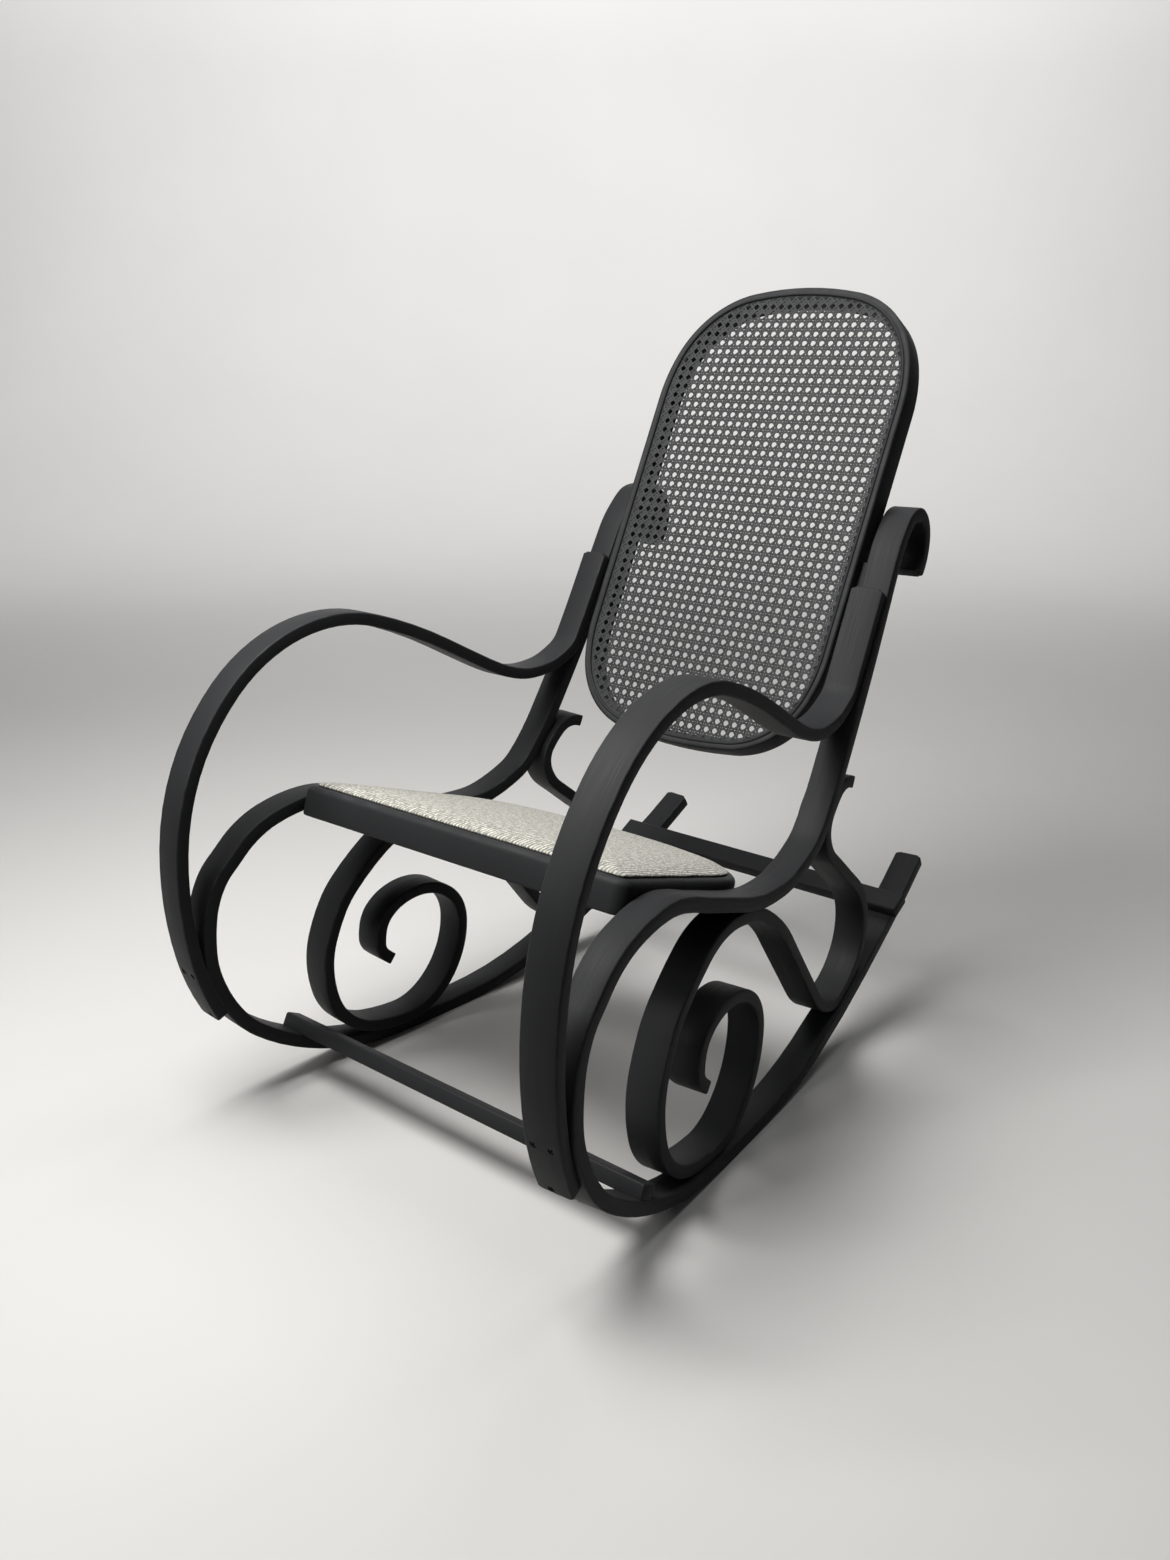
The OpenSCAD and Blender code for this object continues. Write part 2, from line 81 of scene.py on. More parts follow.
# Small sizes in metres that no panel needs. STRAIGHT is the least turn, in radians, of
# a bend. ARM_SCREWS holds pairs: across the arm's strip and above its foot. PAD_THIN,
# PAD_CROWN and PAD_SHOULDER are shares of the pad's height and of its width.
GLUE = 0.2 * MM
TOUCH, STRAIGHT = 1e-5, 1e-4
END_RIM = 0.0025
BORE_RADIUS, BORE_DEPTH = 0.0041, 0.0035
HEAD_RADIUS, HEAD_HEIGHT = 0.00385, 0.0022
SOCKET_RIM, SOCKET_DEPTH, SHANK_STEP = 0.0014, 0.0013, 0.0019
SPLINE_GAP, SPLINE_WIDTH, SPLINE_LOW, SPLINE_TOP = 0.0009, 0.0046, -0.00255, 0.0013
CANE_REST, TWIN_GAP, STRAND_THICK, TUCK = 0.0006, 0.0009, 0.0005, 0.001
CANE_WAVE, SLANT_WAVE, SLANT_LEVELS = 0.00028, 0.00022, (0.0006, 0.0008)
ARM_SCREWS = ((0.010, 0.060), (-0.012, 0.060), (-0.004, -0.002))
SEAT_SCREW_FRONT, SEAT_SCREW_REAR = 0.025, 0.020
HOOP_SCREWS, HOOP_SCREW_RISE = (-0.030, 0.024), 0.012
PAD_VOXEL, PAD_FRAMES, PAD_FLAT, PAD_FOOT = 0.005, 20, 0.0015, 0.009
PAD_THIN, PAD_CROWN, PAD_SHOULDER = 0.5, 0.12, 0.3

# The camera, and each lamp's name, place, target, width, height, watts and colour
EYE, EYE_TURN = (1.0295, -1.2472, 0.9728), (71.378, -0.269, 39.071)
LAMPS = (
    ("ceiling", (-0.4, -0.7, 1.95), (0.0, 0.0, 0.5), 1.0, 1.0, 41, (1, 0.99, 0.97)),
    ("front", (-1.2, -2.2, 1.9), (0.0, 0.0, 0.8), 1.4, 1.0, 14, (1, 1, 1)),
    ("rear", (0.0, 0.9, 2.4), (0.0, 0.3, 0.6), 1.4, 1.2, 18, (1, 1, 1)),
    ("wall", (-2.6, 3.2, 4.0), (-4.4, 5.4, 1.2), 9.0, 1.2, 270, (1, 1, 1)))


# Properties

def metres(name, about, value):
    return bpy.props.FloatProperty(name=name, description=about, default=value, unit="LENGTH")


def degrees(name, about, value):
    return bpy.props.FloatProperty(name=name, description=about, default=math.radians(value),
                                   subtype="ANGLE", unit="ROTATION")


def tint(name, about, value):
    return bpy.props.FloatVectorProperty(name=name, description=about, subtype="COLOR",
                                         size=3, min=0, max=1, default=value)


class FrameSizes(bpy.types.PropertyGroup):
    base_width: metres("Base width", "Width over both rockers on the floor", 0.581)
    main_width: metres("Main strip width", "Width of the main strip across the chair", 0.040)
    main_thick: metres("Main strip thickness", "Thickness of the main strip", 0.018)
    arm_width: metres("Arm width", "Width of the arm strip", 0.044)
    arm_thick: metres("Arm thickness", "Thickness of the arm strip", 0.016)
    arm_in: metres("Arm inward", "How far the arm's foot stands inward", 0.008)
    arm_tail: metres("Arm tail", "Straight end of the arm below its joint", 0.010)
    scroll_width: metres("Scroll width", "Width of the scroll strip", 0.044)
    scroll_thick: metres("Scroll thickness", "Thickness of the scroll strip", 0.016)
    scroll_in: metres("Scroll inward", "How far the scroll strip stands inward", 0.007)
    round_edge: metres("Edge radius", "Radius along the strips' long edges", 0.0022)
    end_round: metres("End rounding", "Radius of the corners at each strip's ends", 0.005)
    coat: metres("Coat", "Filler and paint on each face of a strip", 0.0004)
    toe: degrees("Toe-in", "Toe-in of the side frames towards the rear", 4.7)
    lean: degrees("Lean", "Inward lean of the side frames", 0.6)
    arm_turn: degrees("Arm turn", "Inward turn of the arm towards its rear end", 1.1)
    arm_spread: degrees("Arm spread", "Outward spread of the arm at its top", 2.0)


class SeatSizes(bpy.types.PropertyGroup):
    depth: metres("Depth", "Depth of the seat ring along its slope", 0.378)
    ring_height: metres("Ring height", "Height of the seat ring", 0.040)
    ring_thick: metres("Ring thickness", "Thickness of the seat ring", 0.020)
    ring_radius: metres("Front corner", "Corner radius at the front of the ring", 0.018)
    solid_radius: metres(
        "Solid's corner", "Corner radius of the solid that the pad starts from", 0.042)
    pad_margin: metres(
        "Pad margin", "How far the cover stays behind the ring's outside", 0.0095)
    solid_margin: metres("Solid's margin", "The same margin on the solid pad", 0.007)
    dip: degrees("Dip", "Extra slope of the seat towards its rear", 1.4)
    roll: degrees("Roll", "Slope of the seat towards its left side", 0.5)
    ring_side: metres("Straight side", "Length of the ring's straight sides", 0.230)
    rise: metres("Rise", "How far the ring's top stands above the main strip", 0.014)
    lead: metres("Lead", "How far the ring's front stands before the crest", 0.030)
    gap: metres("Gap", "Gap between the ring and the side frames", 0.0012)
    ease: metres("Top edge radius", "Radius of the ring's top outer edge", 0.009)
    pad_swell: metres("Pad swell", "Furthest that the pad's cover moves as it fills", 0.003)


class BackSizes(bpy.types.PropertyGroup):
    height: metres("Height", "Height of the hoop along its slope", 0.6933)
    hoop_depth: metres("Hoop depth", "Depth of the hoop, front to back", 0.038)
    hoop_thick: metres("Hoop thickness", "Thickness of the hoop, seen from the front", 0.018)
    top_radius: metres("Top corner radius", "Outer radius of the hoop's upper corners", 0.161)
    foot_radius: metres("Foot corner radius", "Outer radius of the hoop's lower corners", 0.144)
    proud: metres("Proud", "How far the hoop's front stands before the posts", 0.014)
    rise: metres("Rise", "How far the hoop rises above the posts' reference point", 0.3866)
    gap: metres("Gap", "Gap between the hoop and the posts", 0.0032)
    ledge: metres("Ledge", "Width of the ledge that carries the cane", 0.011)
    sink: metres("Ledge depth", "Depth of the ledge below the hoop's front", 0.004)
    angle: degrees("Angle", "Angle of the back above the horizontal", 63)
    cane_pitch: metres("Cane pitch", "Spacing of the holes in the cane", 0.0141)
    strand: metres("Strand width", "Width of one strand of cane", 0.0027)


class Finish(bpy.types.PropertyGroup):
    paint: tint("Paint", "Colour of the painted wood", (0.0222, 0.0229, 0.0245))
    # Lighter paint: rubbed paint on the strips' long edges, and partly painted highlight on the
    # seat ring's top edge and the hoop's front face
    paint_wear_and_highlight: tint(
        "Paint at edges", "Colour where the paint has rubbed thin", (0.055, 0.056, 0.059))
    cane: tint("Cane", "Colour of the painted cane", (0.036, 0.0372, 0.0392))
    cloth_light: tint("Light yarn", "Light yarn of the seat cloth", (0.55, 0.54, 0.48))
    cloth_dark: tint("Dark yarn", "Dark yarn of the seat cloth", (0.19, 0.187, 0.165))
    floor: tint("Floor", "Colour of the floor and backdrop", (0.72, 0.712, 0.697))


# Paths. A station is (x, y, heading); an arc is (start, turn, length, end).

def back(y):
    """Metres behind the rockers' contact, from a place in the tables above."""
    return (y - CONTACT) * MM


def place(rows):
    return [(back(y), z * MM, math.radians(h)) for y, z, h in rows]


def arc(p, q):
    dx, dy = q[0] - p[0], q[1] - p[1]
    chord = math.hypot(dx, dy)
    half = math.remainder(math.atan2(dy, dx) - p[2], 2 * math.pi)
    length = chord if abs(half) < STRAIGHT else chord * half / math.sin(half)
    return (p, 2 * half, length, (q[0], q[1], p[2] + 2 * half))


def two_arcs(s, e):
    t1 = Vector((math.cos(s[2]), math.sin(s[2])))
    t2 = Vector((math.cos(e[2]), math.sin(e[2])))
    v, t = Vector((e[0] - s[0], e[1] - s[1])), t1 + t2
    c = 2 * (1 - t1.dot(t2))
    if c < 1e-6:
        d = v.dot(v) / (2 * v.dot(t))
    else:
        d = (math.sqrt(v.dot(t) ** 2 + c * v.dot(v)) - v.dot(t)) / c
    m = (Vector(s[:2]) + Vector(e[:2]) + d * (t1 - t2)) / 2
    first = arc(s, m)
    return [first, arc(first[3], e)]


def chain(stations):
    return [a for s, e in zip(stations, stations[1:]) for a in two_arcs(s, e)]


def back_of(arcs):
    def turned(p):
        return (p[0], p[1], p[2] + math.pi)
    return [(turned(e), -turn, length, turned(s)) for s, turn, length, e in reversed(arcs)]


def at(a, u):
    """Station at the share u of an arc."""
    p, turn, length, _ = a
    bend = turn * u / 2
    h = p[2] + bend
    reach = length * u * (1 if abs(2 * bend) < STRAIGHT else math.sin(bend) / bend)
    return (p[0] + reach * math.cos(h), p[1] + reach * math.sin(h), p[2] + turn * u)


def dense(arcs):
    """Close stations along a path, each with its distance from the start."""
    rows, run = [], 0.0
    for a in arcs:
        n = max(2, math.ceil(a[2] / 0.002))
        rows += [(*at(a, i / n), run + a[2] * i / n) for i in range(n)]
        run += a[2]
    rows.append((*arcs[-1][3], run))
    return np.array(rows)


def where(arcs, value, axis=0):
    """First station of a path whose coordinate on the axis is the value."""
    d = dense(arcs)
    side = (d[:-1, axis] - value) * (d[1:, axis] - value) <= 0
    i = int(np.argmax(side))
    u = (value - d[i, axis]) / (d[i + 1, axis] - d[i, axis])
    return tuple(d[i, :3] * (1 - u) + d[i + 1, :3] * u)


def beside(s, o):
    return (s[0] - o * math.sin(s[2]), s[1] + o * math.cos(s[2]), s[2])


def ahead(s, d):
    return (s[0] + d * math.cos(s[2]), s[1] + d * math.sin(s[2]), s[2])


def axes(s):
    """Directions to the left of a station and along it."""
    way = Vector((math.cos(s[2]), math.sin(s[2]), 0))
    return Vector((-way.y, way.x, 0)), way


def sizes():
    s = bpy.context.scene
    return s.rocker_frame, s.rocker_seat, s.rocker_back, s.rocker_finish


def frame_paths():
    """The four paths of a side frame: main, arm and scroll strips, and the arm's foot."""
    f = sizes()[0]
    front, rear = chain(place(FRONT)), chain(place(REAR))
    bearer, post = chain(place(BEARER)), chain(place(POST))
    flat = [arc(back_of(rear)[-1][3], place(FRONT)[0])]
    main = back_of(rear) + flat + front + bearer + post + chain(place(HOOK))
    off = (f.main_thick + f.arm_thick) / 2 + GLUE
    foot = beside(where(front, back(FOOT_Y)), off)
    arm = chain([ahead(foot, -f.arm_tail), foot] + place(ARM)
                + [beside(where(post, back(SEAT_Y)), off), beside(where(post, back(END_Y)), off)])
    off = (f.main_thick + f.scroll_thick) / 2 + GLUE
    scroll = chain(
        place(CURL) + [beside(where(front, back(CURL_Y)), -off)] + place(RING)
        + [beside(where(bearer, back(TOUCH_Y)), -off)] + place(FALL)
        + [beside(where(rear, back(LOOP_Y)), off)] + place(LOOP)
        + [beside(where(post, back(LOOP_TOP_Y)), -off)] + place(TIP))
    return main, arm, scroll, foot


# Places of the chair's own frames

SIDEWAYS = Matrix(((0, 0, 1, 0), (1, 0, 0, 0), (0, 1, 0, 0), (0, 0, 0, 1)))


def lift():
    f = sizes()[0]
    return f.main_width / 2 * math.sin(f.lean)


def right_side(inward=0.0):
    """From a side view (back, up, across) to the right side frame's place."""
    f = sizes()[0]
    x = f.base_width / 2 - f.main_width / 2
    return (Matrix.Translation((x, 0, lift())) @ Matrix.Rotation(f.toe, 4, "Z")
            @ Matrix.Rotation(-f.lean, 4, "Y") @ Matrix.Translation((-inward, 0, 0)) @ SIDEWAYS)


def arm_place(foot):
    f = sizes()[0]
    pivot = Matrix.Translation((foot[0], foot[1], 0))
    turn = (Matrix.Rotation(f.arm_turn, 4, "Z") @ Matrix.Rotation(f.arm_spread, 4, "Y"))
    return (right_side(f.arm_in) @ pivot @ SIDEWAYS.inverted() @ turn @ SIDEWAYS
            @ pivot.inverted())


def inner_x(y, z):
    """Inner face of the right side frame at a distance back and a height."""
    f = sizes()[0]
    x = f.base_width / 2 - f.main_width / 2
    return (x - f.main_width / 2 / (math.cos(f.lean) * math.cos(f.toe)) - y * math.tan(f.toe)
            - (z - lift()) * math.tan(f.lean) / math.cos(f.toe))


def outer_x(y, z):
    f = sizes()[0]
    return inner_x(y, z) + f.main_width / (math.cos(f.lean) * math.cos(f.toe))


def seat_tilt():
    crest, dip = place([CREST, DIP])
    return math.atan((crest[1] - dip[1]) / (dip[0] - crest[0]))


def on_solid_seat():
    """The seat's place in the solid model."""
    f, s = sizes()[:2]
    crest = place([CREST])[0]
    return (Matrix.Translation((0, crest[0], crest[1] + lift()))
            @ Matrix.Rotation(-seat_tilt(), 4, "X")
            @ Matrix.Translation((0, -s.lead, f.main_thick / 2 + s.rise)))


def on_seat():
    """The same place, a little lower at the rear and on the left, as in the photograph."""
    s = sizes()[1]
    return (on_solid_seat() @ Matrix.Rotation(-s.dip, 4, "X")
            @ Matrix.Rotation(-s.roll, 4, "Y"))


def on_back():
    f, _, b, _ = sizes()
    top = place([POST_TOP])[0]
    return (Matrix.Translation((0, top[0], top[1] + lift())) @ Matrix.Rotation(b.angle, 4, "X")
            @ Matrix.Translation((0, 0, f.main_thick / 2 + b.proud)))


def ring_half(t):
    """Half of the ring's outer width at a distance from its front."""
    s = sizes()[1]
    places = [on_seat() @ Vector((0, t, n)) for n in (0, -s.ring_height)]
    return min(inner_x(p.y, p.z - lift()) for p in places) - s.gap


def ring_path(corner):
    """Right half of the seat ring's outline, from the middle of its front."""
    s = sizes()[1]
    a, b = ring_half(corner), ring_half(s.ring_side)
    turn = math.pi / 2 + math.atan((a - b) / (s.ring_side - corner))
    return chain([(0, 0, 0), (a - corner, 0, 0), (a, corner, turn),
                  (b, s.ring_side, turn), (0, s.depth, math.pi)])


def hoop_half():
    f, _, b, _ = sizes()
    shoulder = place([SHOULDER])[0]
    return inner_x(shoulder[0], shoulder[1] + f.main_thick / 2) - b.gap


def hoop_path():
    """Closed outline of the hoop, anticlockwise from the middle of its foot."""
    b = sizes()[2]
    w, high, top, foot = hoop_half(), b.rise, b.top_radius, b.foot_radius
    low, s, slack = high - b.height, math.sqrt(0.5), 0.015
    right = [(0, low, 0), (w - foot * (1 - s), low + foot * (1 - s), math.pi / 4),
             (w, low + foot + slack, math.pi / 2), (w, high - top - slack, math.pi / 2),
             (w - top * (1 - s), high - top * (1 - s), 3 * math.pi / 4), (0, high, math.pi)]
    left = [(-x, y, 2 * math.pi - h) for x, y, h in reversed(right[:-1])]
    return chain(right + left)


# Modelling steps shared by the pieces

def object_mode():
    if bpy.context.object and bpy.context.object.mode != "OBJECT":
        bpy.ops.object.mode_set(mode="OBJECT")


def edit_mode():
    bpy.ops.object.mode_set(mode="EDIT")


def only(*pieces):
    """Selects these pieces and nothing else, with the first one active."""
    object_mode()
    bpy.ops.object.select_all(action="DESELECT")
    for piece in pieces:
        piece.select_set(True)
    if pieces:
        bpy.context.view_layer.objects.active = pieces[0]


def join(pieces):
    only(*pieces)
    bpy.ops.object.join()
    return pieces[0]


def freeze():
    bpy.ops.object.transform_apply(location=True, rotation=True, scale=True)


def everything():
    bpy.ops.mesh.select_all(action="SELECT")


def weld(gap):
    """Joins all points that lie closer together than the gap."""
    everything()
    bpy.ops.mesh.remove_doubles(threshold=gap)


def fix_normals():
    everything()
    bpy.ops.mesh.normals_make_consistent(inside=False)


def keep_rim():
    """Leaves only the outline of a section, selected and ready to be swept."""
    everything()
    bpy.ops.mesh.delete(type="ONLY_FACE")
    everything()


def pick_open_edges():
    bpy.ops.mesh.select_all(action="DESELECT")
    bpy.ops.mesh.select_non_manifold(extend=False, use_wire=False, use_multi_face=False,
                                     use_non_contiguous=False, use_verts=False)


def points(piece):
    co = np.empty(len(piece.data.vertices) * 3)
    piece.data.vertices.foreach_get("co", co)
    return co.reshape(-1, 3)


def move_points(piece, co):
    piece.data.vertices.foreach_set("co", co.ravel())
    piece.data.update()


def write_uv(piece, name, u, v):
    mesh = piece.data
    loops = np.empty(len(mesh.loops), int)
    mesh.loops.foreach_get("vertex_index", loops)
    layer = mesh.uv_layers.new(name=name)
    layer.data.foreach_set("uv", np.column_stack([u, v])[loops].ravel())


def start_piece(name):
    """The newest primitive becomes a piece of this name, open in edit mode."""
    piece = bpy.context.object
    piece.name = piece.data.name = name
    freeze()
    edit_mode()
    return piece


def add_section(name, station, near, far, low, high):
    """A rectangle square to a path: from near to far beside it, low to high across it."""
    only()
    side, way = axes(station)
    turn = Matrix((side, (0, 0, 1), way)).transposed()
    middle = Vector((station[0], station[1], (low + high) / 2)) + side * (near + far) / 2
    bpy.ops.mesh.primitive_plane_add(size=1, location=middle, rotation=turn.to_euler())
    bpy.context.object.scale = (far - near, high - low, 1)
    return start_piece(name)


def pick(piece, test, kind="VERT"):
    """Selects what passes the test, by its place, and leaves the piece in edit mode."""
    object_mode()
    mesh = piece.data
    chosen = test(points(piece))
    for part in (mesh.edges, mesh.polygons):
        part.foreach_set("select", np.zeros(len(part), bool))
    mesh.vertices.foreach_set("select", chosen)
    edit_mode()
    bpy.ops.mesh.select_mode(type="VERT")
    if kind != "VERT":
        bpy.ops.mesh.select_mode(type=kind)


def round_corners(piece, corners):
    """Rounds corners of a section, each given by its place, radius and segments."""
    for point, radius, segments in corners:
        def test(co):
            d = np.linalg.norm(co - np.array(point), axis=1)
            return d < min(d.min() + TOUCH, 1e-3)

        pick(piece, test)
        bpy.ops.mesh.bevel(
            offset=radius, segments=segments, affect="VERTICES", clamp_overlap=False)


def run_along(arcs, step=math.radians(4.5)):
    """Carries the selected edges along a path, turning them round each arc."""
    for p, turn, length, q in arcs:
        if abs(turn) < STRAIGHT:
            bpy.ops.mesh.extrude_edges_move(
                TRANSFORM_OT_translate={"value": (q[0] - p[0], q[1] - p[1], 0)})
            continue
        radius = length / turn
        # a spin's angle counts the other way than an arc's
        bpy.ops.mesh.spin(
            steps=max(2, math.ceil(abs(turn) / step)), angle=-turn,
            center=(p[0] - radius * math.sin(p[2]), p[1] + radius * math.cos(p[2]), 0),
            axis=(0, 0, 1))


def close_ends():
    """Caps both open ends of a strip."""
    bpy.ops.mesh.select_mode(type="EDGE")
    pick_open_edges()
    bpy.ops.mesh.edge_face_add()
    bpy.ops.mesh.select_mode(type="FACE")
    fix_normals()


def shorten(arcs, by):
    """The same path without its last stretch of a given length."""
    p, turn, length, _ = arcs[-1]
    share = 1 - by / length
    return arcs[:-1] + [(p, turn * share, length * share, at(arcs[-1], share))]


def ease_ends(piece, ends, wide, corner):
    """Rounds each end across its width and then round its rim."""
    for station, way in ends:
        bpy.ops.mesh.select_all(action="DESELECT")
        object_mode()
        tip = Vector((*station[:2], 0))
        caps = [face for face in piece.data.polygons if len(face.vertices) > 4]
        min(caps, key=lambda face: (face.center - tip).length).select = True
        edit_mode()
        bpy.ops.mesh.select_mode(type="FACE")
        out = axes(station)[1] * way
        # the last step stops short of a full quarter, so that the cap keeps a width
        turns = [math.pi / 2 * i / 6 for i in range(6)] + [math.pi / 2 * 0.97]
        for a, b in zip(turns, turns[1:]):
            bpy.ops.mesh.extrude_region_move(TRANSFORM_OT_translate={
                "value": out * (corner - END_RIM) * (math.sin(b) - math.sin(a))})
            thinner = ((wide - corner * (1 - math.cos(b))) / (wide - corner * (1 - math.cos(a))))
            bpy.ops.transform.resize(value=(1, 1, thinner), center_override=(0, 0, 0))
        turns = [math.pi / 2 * i / 3 for i in range(4)]
        for a, b in zip(turns, turns[1:]):
            bpy.ops.mesh.inset(thickness=END_RIM * (math.cos(a) - math.cos(b)),
                               depth=END_RIM * (math.sin(b) - math.sin(a)))


def write_grain(piece, arcs, wear_and_highlight, mirrored=False):
    """Stores the grain's way as a UV map, and at each point how much lighter paint it takes:
    rubbed paint, and on some pieces painted highlight.

    The mask function gets the points and how far each stands beside the path. A mirrored piece is
    the same on both sides of x = 0, and its path is the right half.
    """
    object_mode()
    co, d = points(piece), dense(arcs)
    flat = np.column_stack([np.abs(co[:, 0]) if mirrored else co[:, 0], co[:, 1]])
    near = np.concatenate([
        np.argmin(((part[:, None] - d[None, :, :2]) ** 2).sum(2), axis=1)
        for part in np.array_split(flat, max(1, len(flat) // 2000))])
    foot = d[near]
    out = ((flat[:, 0] - foot[:, 0]) * -np.sin(foot[:, 2])
           + (flat[:, 1] - foot[:, 1]) * np.cos(foot[:, 2]))
    along = foot[:, 3] * np.where((co[:, 0] < 0) & mirrored, -1, 1)
    write_uv(piece, "grain", along, co[:, 2] + out)
    edge = piece.data.attributes.new("edge", "FLOAT", "POINT")
    edge.data.foreach_set("value", wear_and_highlight(co, out).astype(np.float32))


def settle(piece, matrix, angle=35):
    """Puts a piece in its place, with the place in its mesh, and smooths its shading."""
    only(piece)
    piece.matrix_world = matrix
    freeze()
    bpy.ops.object.shade_smooth_by_angle(angle=math.radians(angle))


def other_side(piece, name):
    """A mirrored copy for the left side, its faces turned the right way out."""
    only(piece)
    bpy.ops.object.duplicate(linked=False)
    twin = bpy.context.object
    twin.name = twin.data.name = name
    twin.scale = (-1, 1, 1)
    freeze()
    edit_mode()
    fix_normals()
    object_mode()
    return twin


def finish_piece(piece, finish, node):
    piece.data.materials.clear()
    piece.data.materials.append(finish)
    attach(piece, "root")
    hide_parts(node)


def finish_pair(piece, name, finish, node):
    """Finishes a piece of the right side and its mirror image, each for its own solid."""
    left = other_side(piece, "left_" + name)
    finish_piece(piece, finish, "right_" + node)
    finish_piece(left, finish, "left_" + node)


def apply_modifier(piece, kind, **settings):
    bpy.context.view_layer.objects.active = piece
    bpy.ops.object.modifier_add(type=kind)
    modifier = piece.modifiers[-1]
    for key, value in settings.items():
        setattr(modifier, key, value)
    bpy.ops.object.modifier_apply(modifier=modifier.name)


def ease_edges(piece):
    apply_modifier(piece, "BEVEL", width=0.0012, segments=2, limit_method="ANGLE",
                   angle_limit=math.radians(50))


def repeat(piece, count, offset, **settings):
    apply_modifier(piece, "ARRAY", count=count, use_relative_offset=False,
                   use_constant_offset=True, constant_offset_displace=offset, **settings)


def copy_solid(node, name):
    """A piece that starts as a copy of a solid's mesh, with its points joined up."""
    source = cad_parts[node]
    piece = bpy.data.objects.new(name, source.data.copy())
    piece.data.name = name
    piece.matrix_world = source.matrix_world
    bpy.context.scene.collection.objects.link(piece)
    only(piece)
    freeze()
    edit_mode()
    weld(TOUCH)
    object_mode()
    return piece


def cut_away(piece, cutter):
    """Takes the cutter's volume out of the piece, which must not vanish by it."""
    apply_modifier(piece, "BOOLEAN", object=cutter, operation="DIFFERENCE", solver="EXACT")
    if not piece.data.polygons:
        raise RuntimeError(piece.name + " vanished when " + cutter.name + " was cut away")
    only(piece)
    bpy.ops.object.shade_smooth_by_angle(angle=math.radians(35))


def bend_strip(name, arcs, width, thick):
    """One bent strip with rounded long edges, swept along its path."""
    f = sizes()[0]
    w, t, edge = width / 2 + f.coat, thick / 2 + f.coat, f.round_edge
    arcs = back_of(shorten(back_of(shorten(arcs, f.end_round)), f.end_round))
    piece = add_section(name, arcs[0][0], -t, t, -w, w)
    everything()
    bpy.ops.mesh.bevel(offset=edge, segments=3, affect="VERTICES")
    keep_rim()
    run_along(arcs)
    weld(1e-6)
    close_ends()
    ease_ends(piece, [(arcs[0][0], -1), (arcs[-1][3], 1)], w, f.end_round)
    write_grain(piece, arcs, lambda co, out: (
        (np.abs(co[:, 2]) > w - edge * 0.8) & (np.abs(out) > t - edge * 0.8)))
    return piece


# Materials

class Finisher:
    """Builds one material, node by node."""

    def __init__(self, name):
        self.material = bpy.data.materials.new(name)
        self.material.use_nodes = True
        self.tree = self.material.node_tree
        self.shader = self.tree.nodes["Principled BSDF"]

    def node(self, kind, inputs=(), **settings):
        made = self.tree.nodes.new(kind)
        for key, value in settings.items():
            setattr(made, key, value)
        for key, value in dict(inputs).items():
            self.put(made.inputs[key], value)
        return made

    def put(self, socket, value):
        if isinstance(value, bpy.types.NodeSocket):
            self.tree.links.new(value, socket)
        else:
            socket.default_value = value

    def shade(self, **values):
        """Sets the shader's inputs and gives the finished material."""
        for key, value in values.items():
            self.put(self.shader.inputs[key.replace("_", " ")], value)
        return self.material

    def place(self):
        return self.node("ShaderNodeTexCoord").outputs["Object"]

    def uv(self, name):
        return self.node("ShaderNodeUVMap", uv_map=name).outputs["UV"]

    def noise(self, vector, scale, detail=3.0, roughness=0.55):
        return self.node("ShaderNodeTexNoise", {
            "Vector": vector, "Scale": scale, "Detail": detail, "Roughness": roughness,
        }).outputs["Fac"]

    def streaks(self, vector, scale, detail=3.0, roughness=0.55):
        """Noise drawn out along one way by a scale for each axis."""
        drawn = self.node("ShaderNodeMapping", {"Vector": vector, "Scale": scale})
        return self.noise(drawn.outputs["Vector"], 1.0, detail, roughness)

    def ramp(self, value, stops):
        made = self.node("ShaderNodeValToRGB", {"Fac": value})
        marks = made.color_ramp.elements
        while len(marks) < len(stops):
            marks.new(0.5)
        for mark, (share, colour) in zip(marks, stops):
            mark.position = share
            mark.color = (*colour, 1)
        return made.outputs["Color"]

    def uneven(self, value, colour, dark, light):
        """A colour that varies by two factors."""
        return self.ramp(value, [(0.3, lighter(colour, dark)), (0.7, lighter(colour, light))])

    def mix(self, share, a, b):
        made = self.node("ShaderNodeMix", data_type="RGBA")
        self.put(made.inputs[0], share)
        for socket, colour in ((6, a), (7, b)):
            plain = not isinstance(colour, bpy.types.NodeSocket)
            self.put(made.inputs[socket], (*colour, 1) if plain else colour)
        return made.outputs[2]

    def math(self, operation, a, b):
        return self.node("ShaderNodeMath", {0: a, 1: b}, operation=operation).outputs[0]

    def times(self, a, b):
        return self.math("MULTIPLY", a, b)

    def spread(self, value, low, high, start=0.0, end=1.0):
        """Maps a value from start and end to low and high."""
        return self.node("ShaderNodeMapRange", {
            "Value": value, "From Min": start, "From Max": end,
            "To Min": low, "To Max": high}).outputs["Result"]

    def bump(self, height, distance, strength, below=None):
        made = self.node("ShaderNodeBump", {
            "Height": height, "Distance": distance, "Strength": strength})
        if below is not None:
            self.put(made.inputs["Normal"], below)
        return made.outputs["Normal"]


def lighter(colour, by):
    return tuple(min(1.0, c * by) for c in colour)


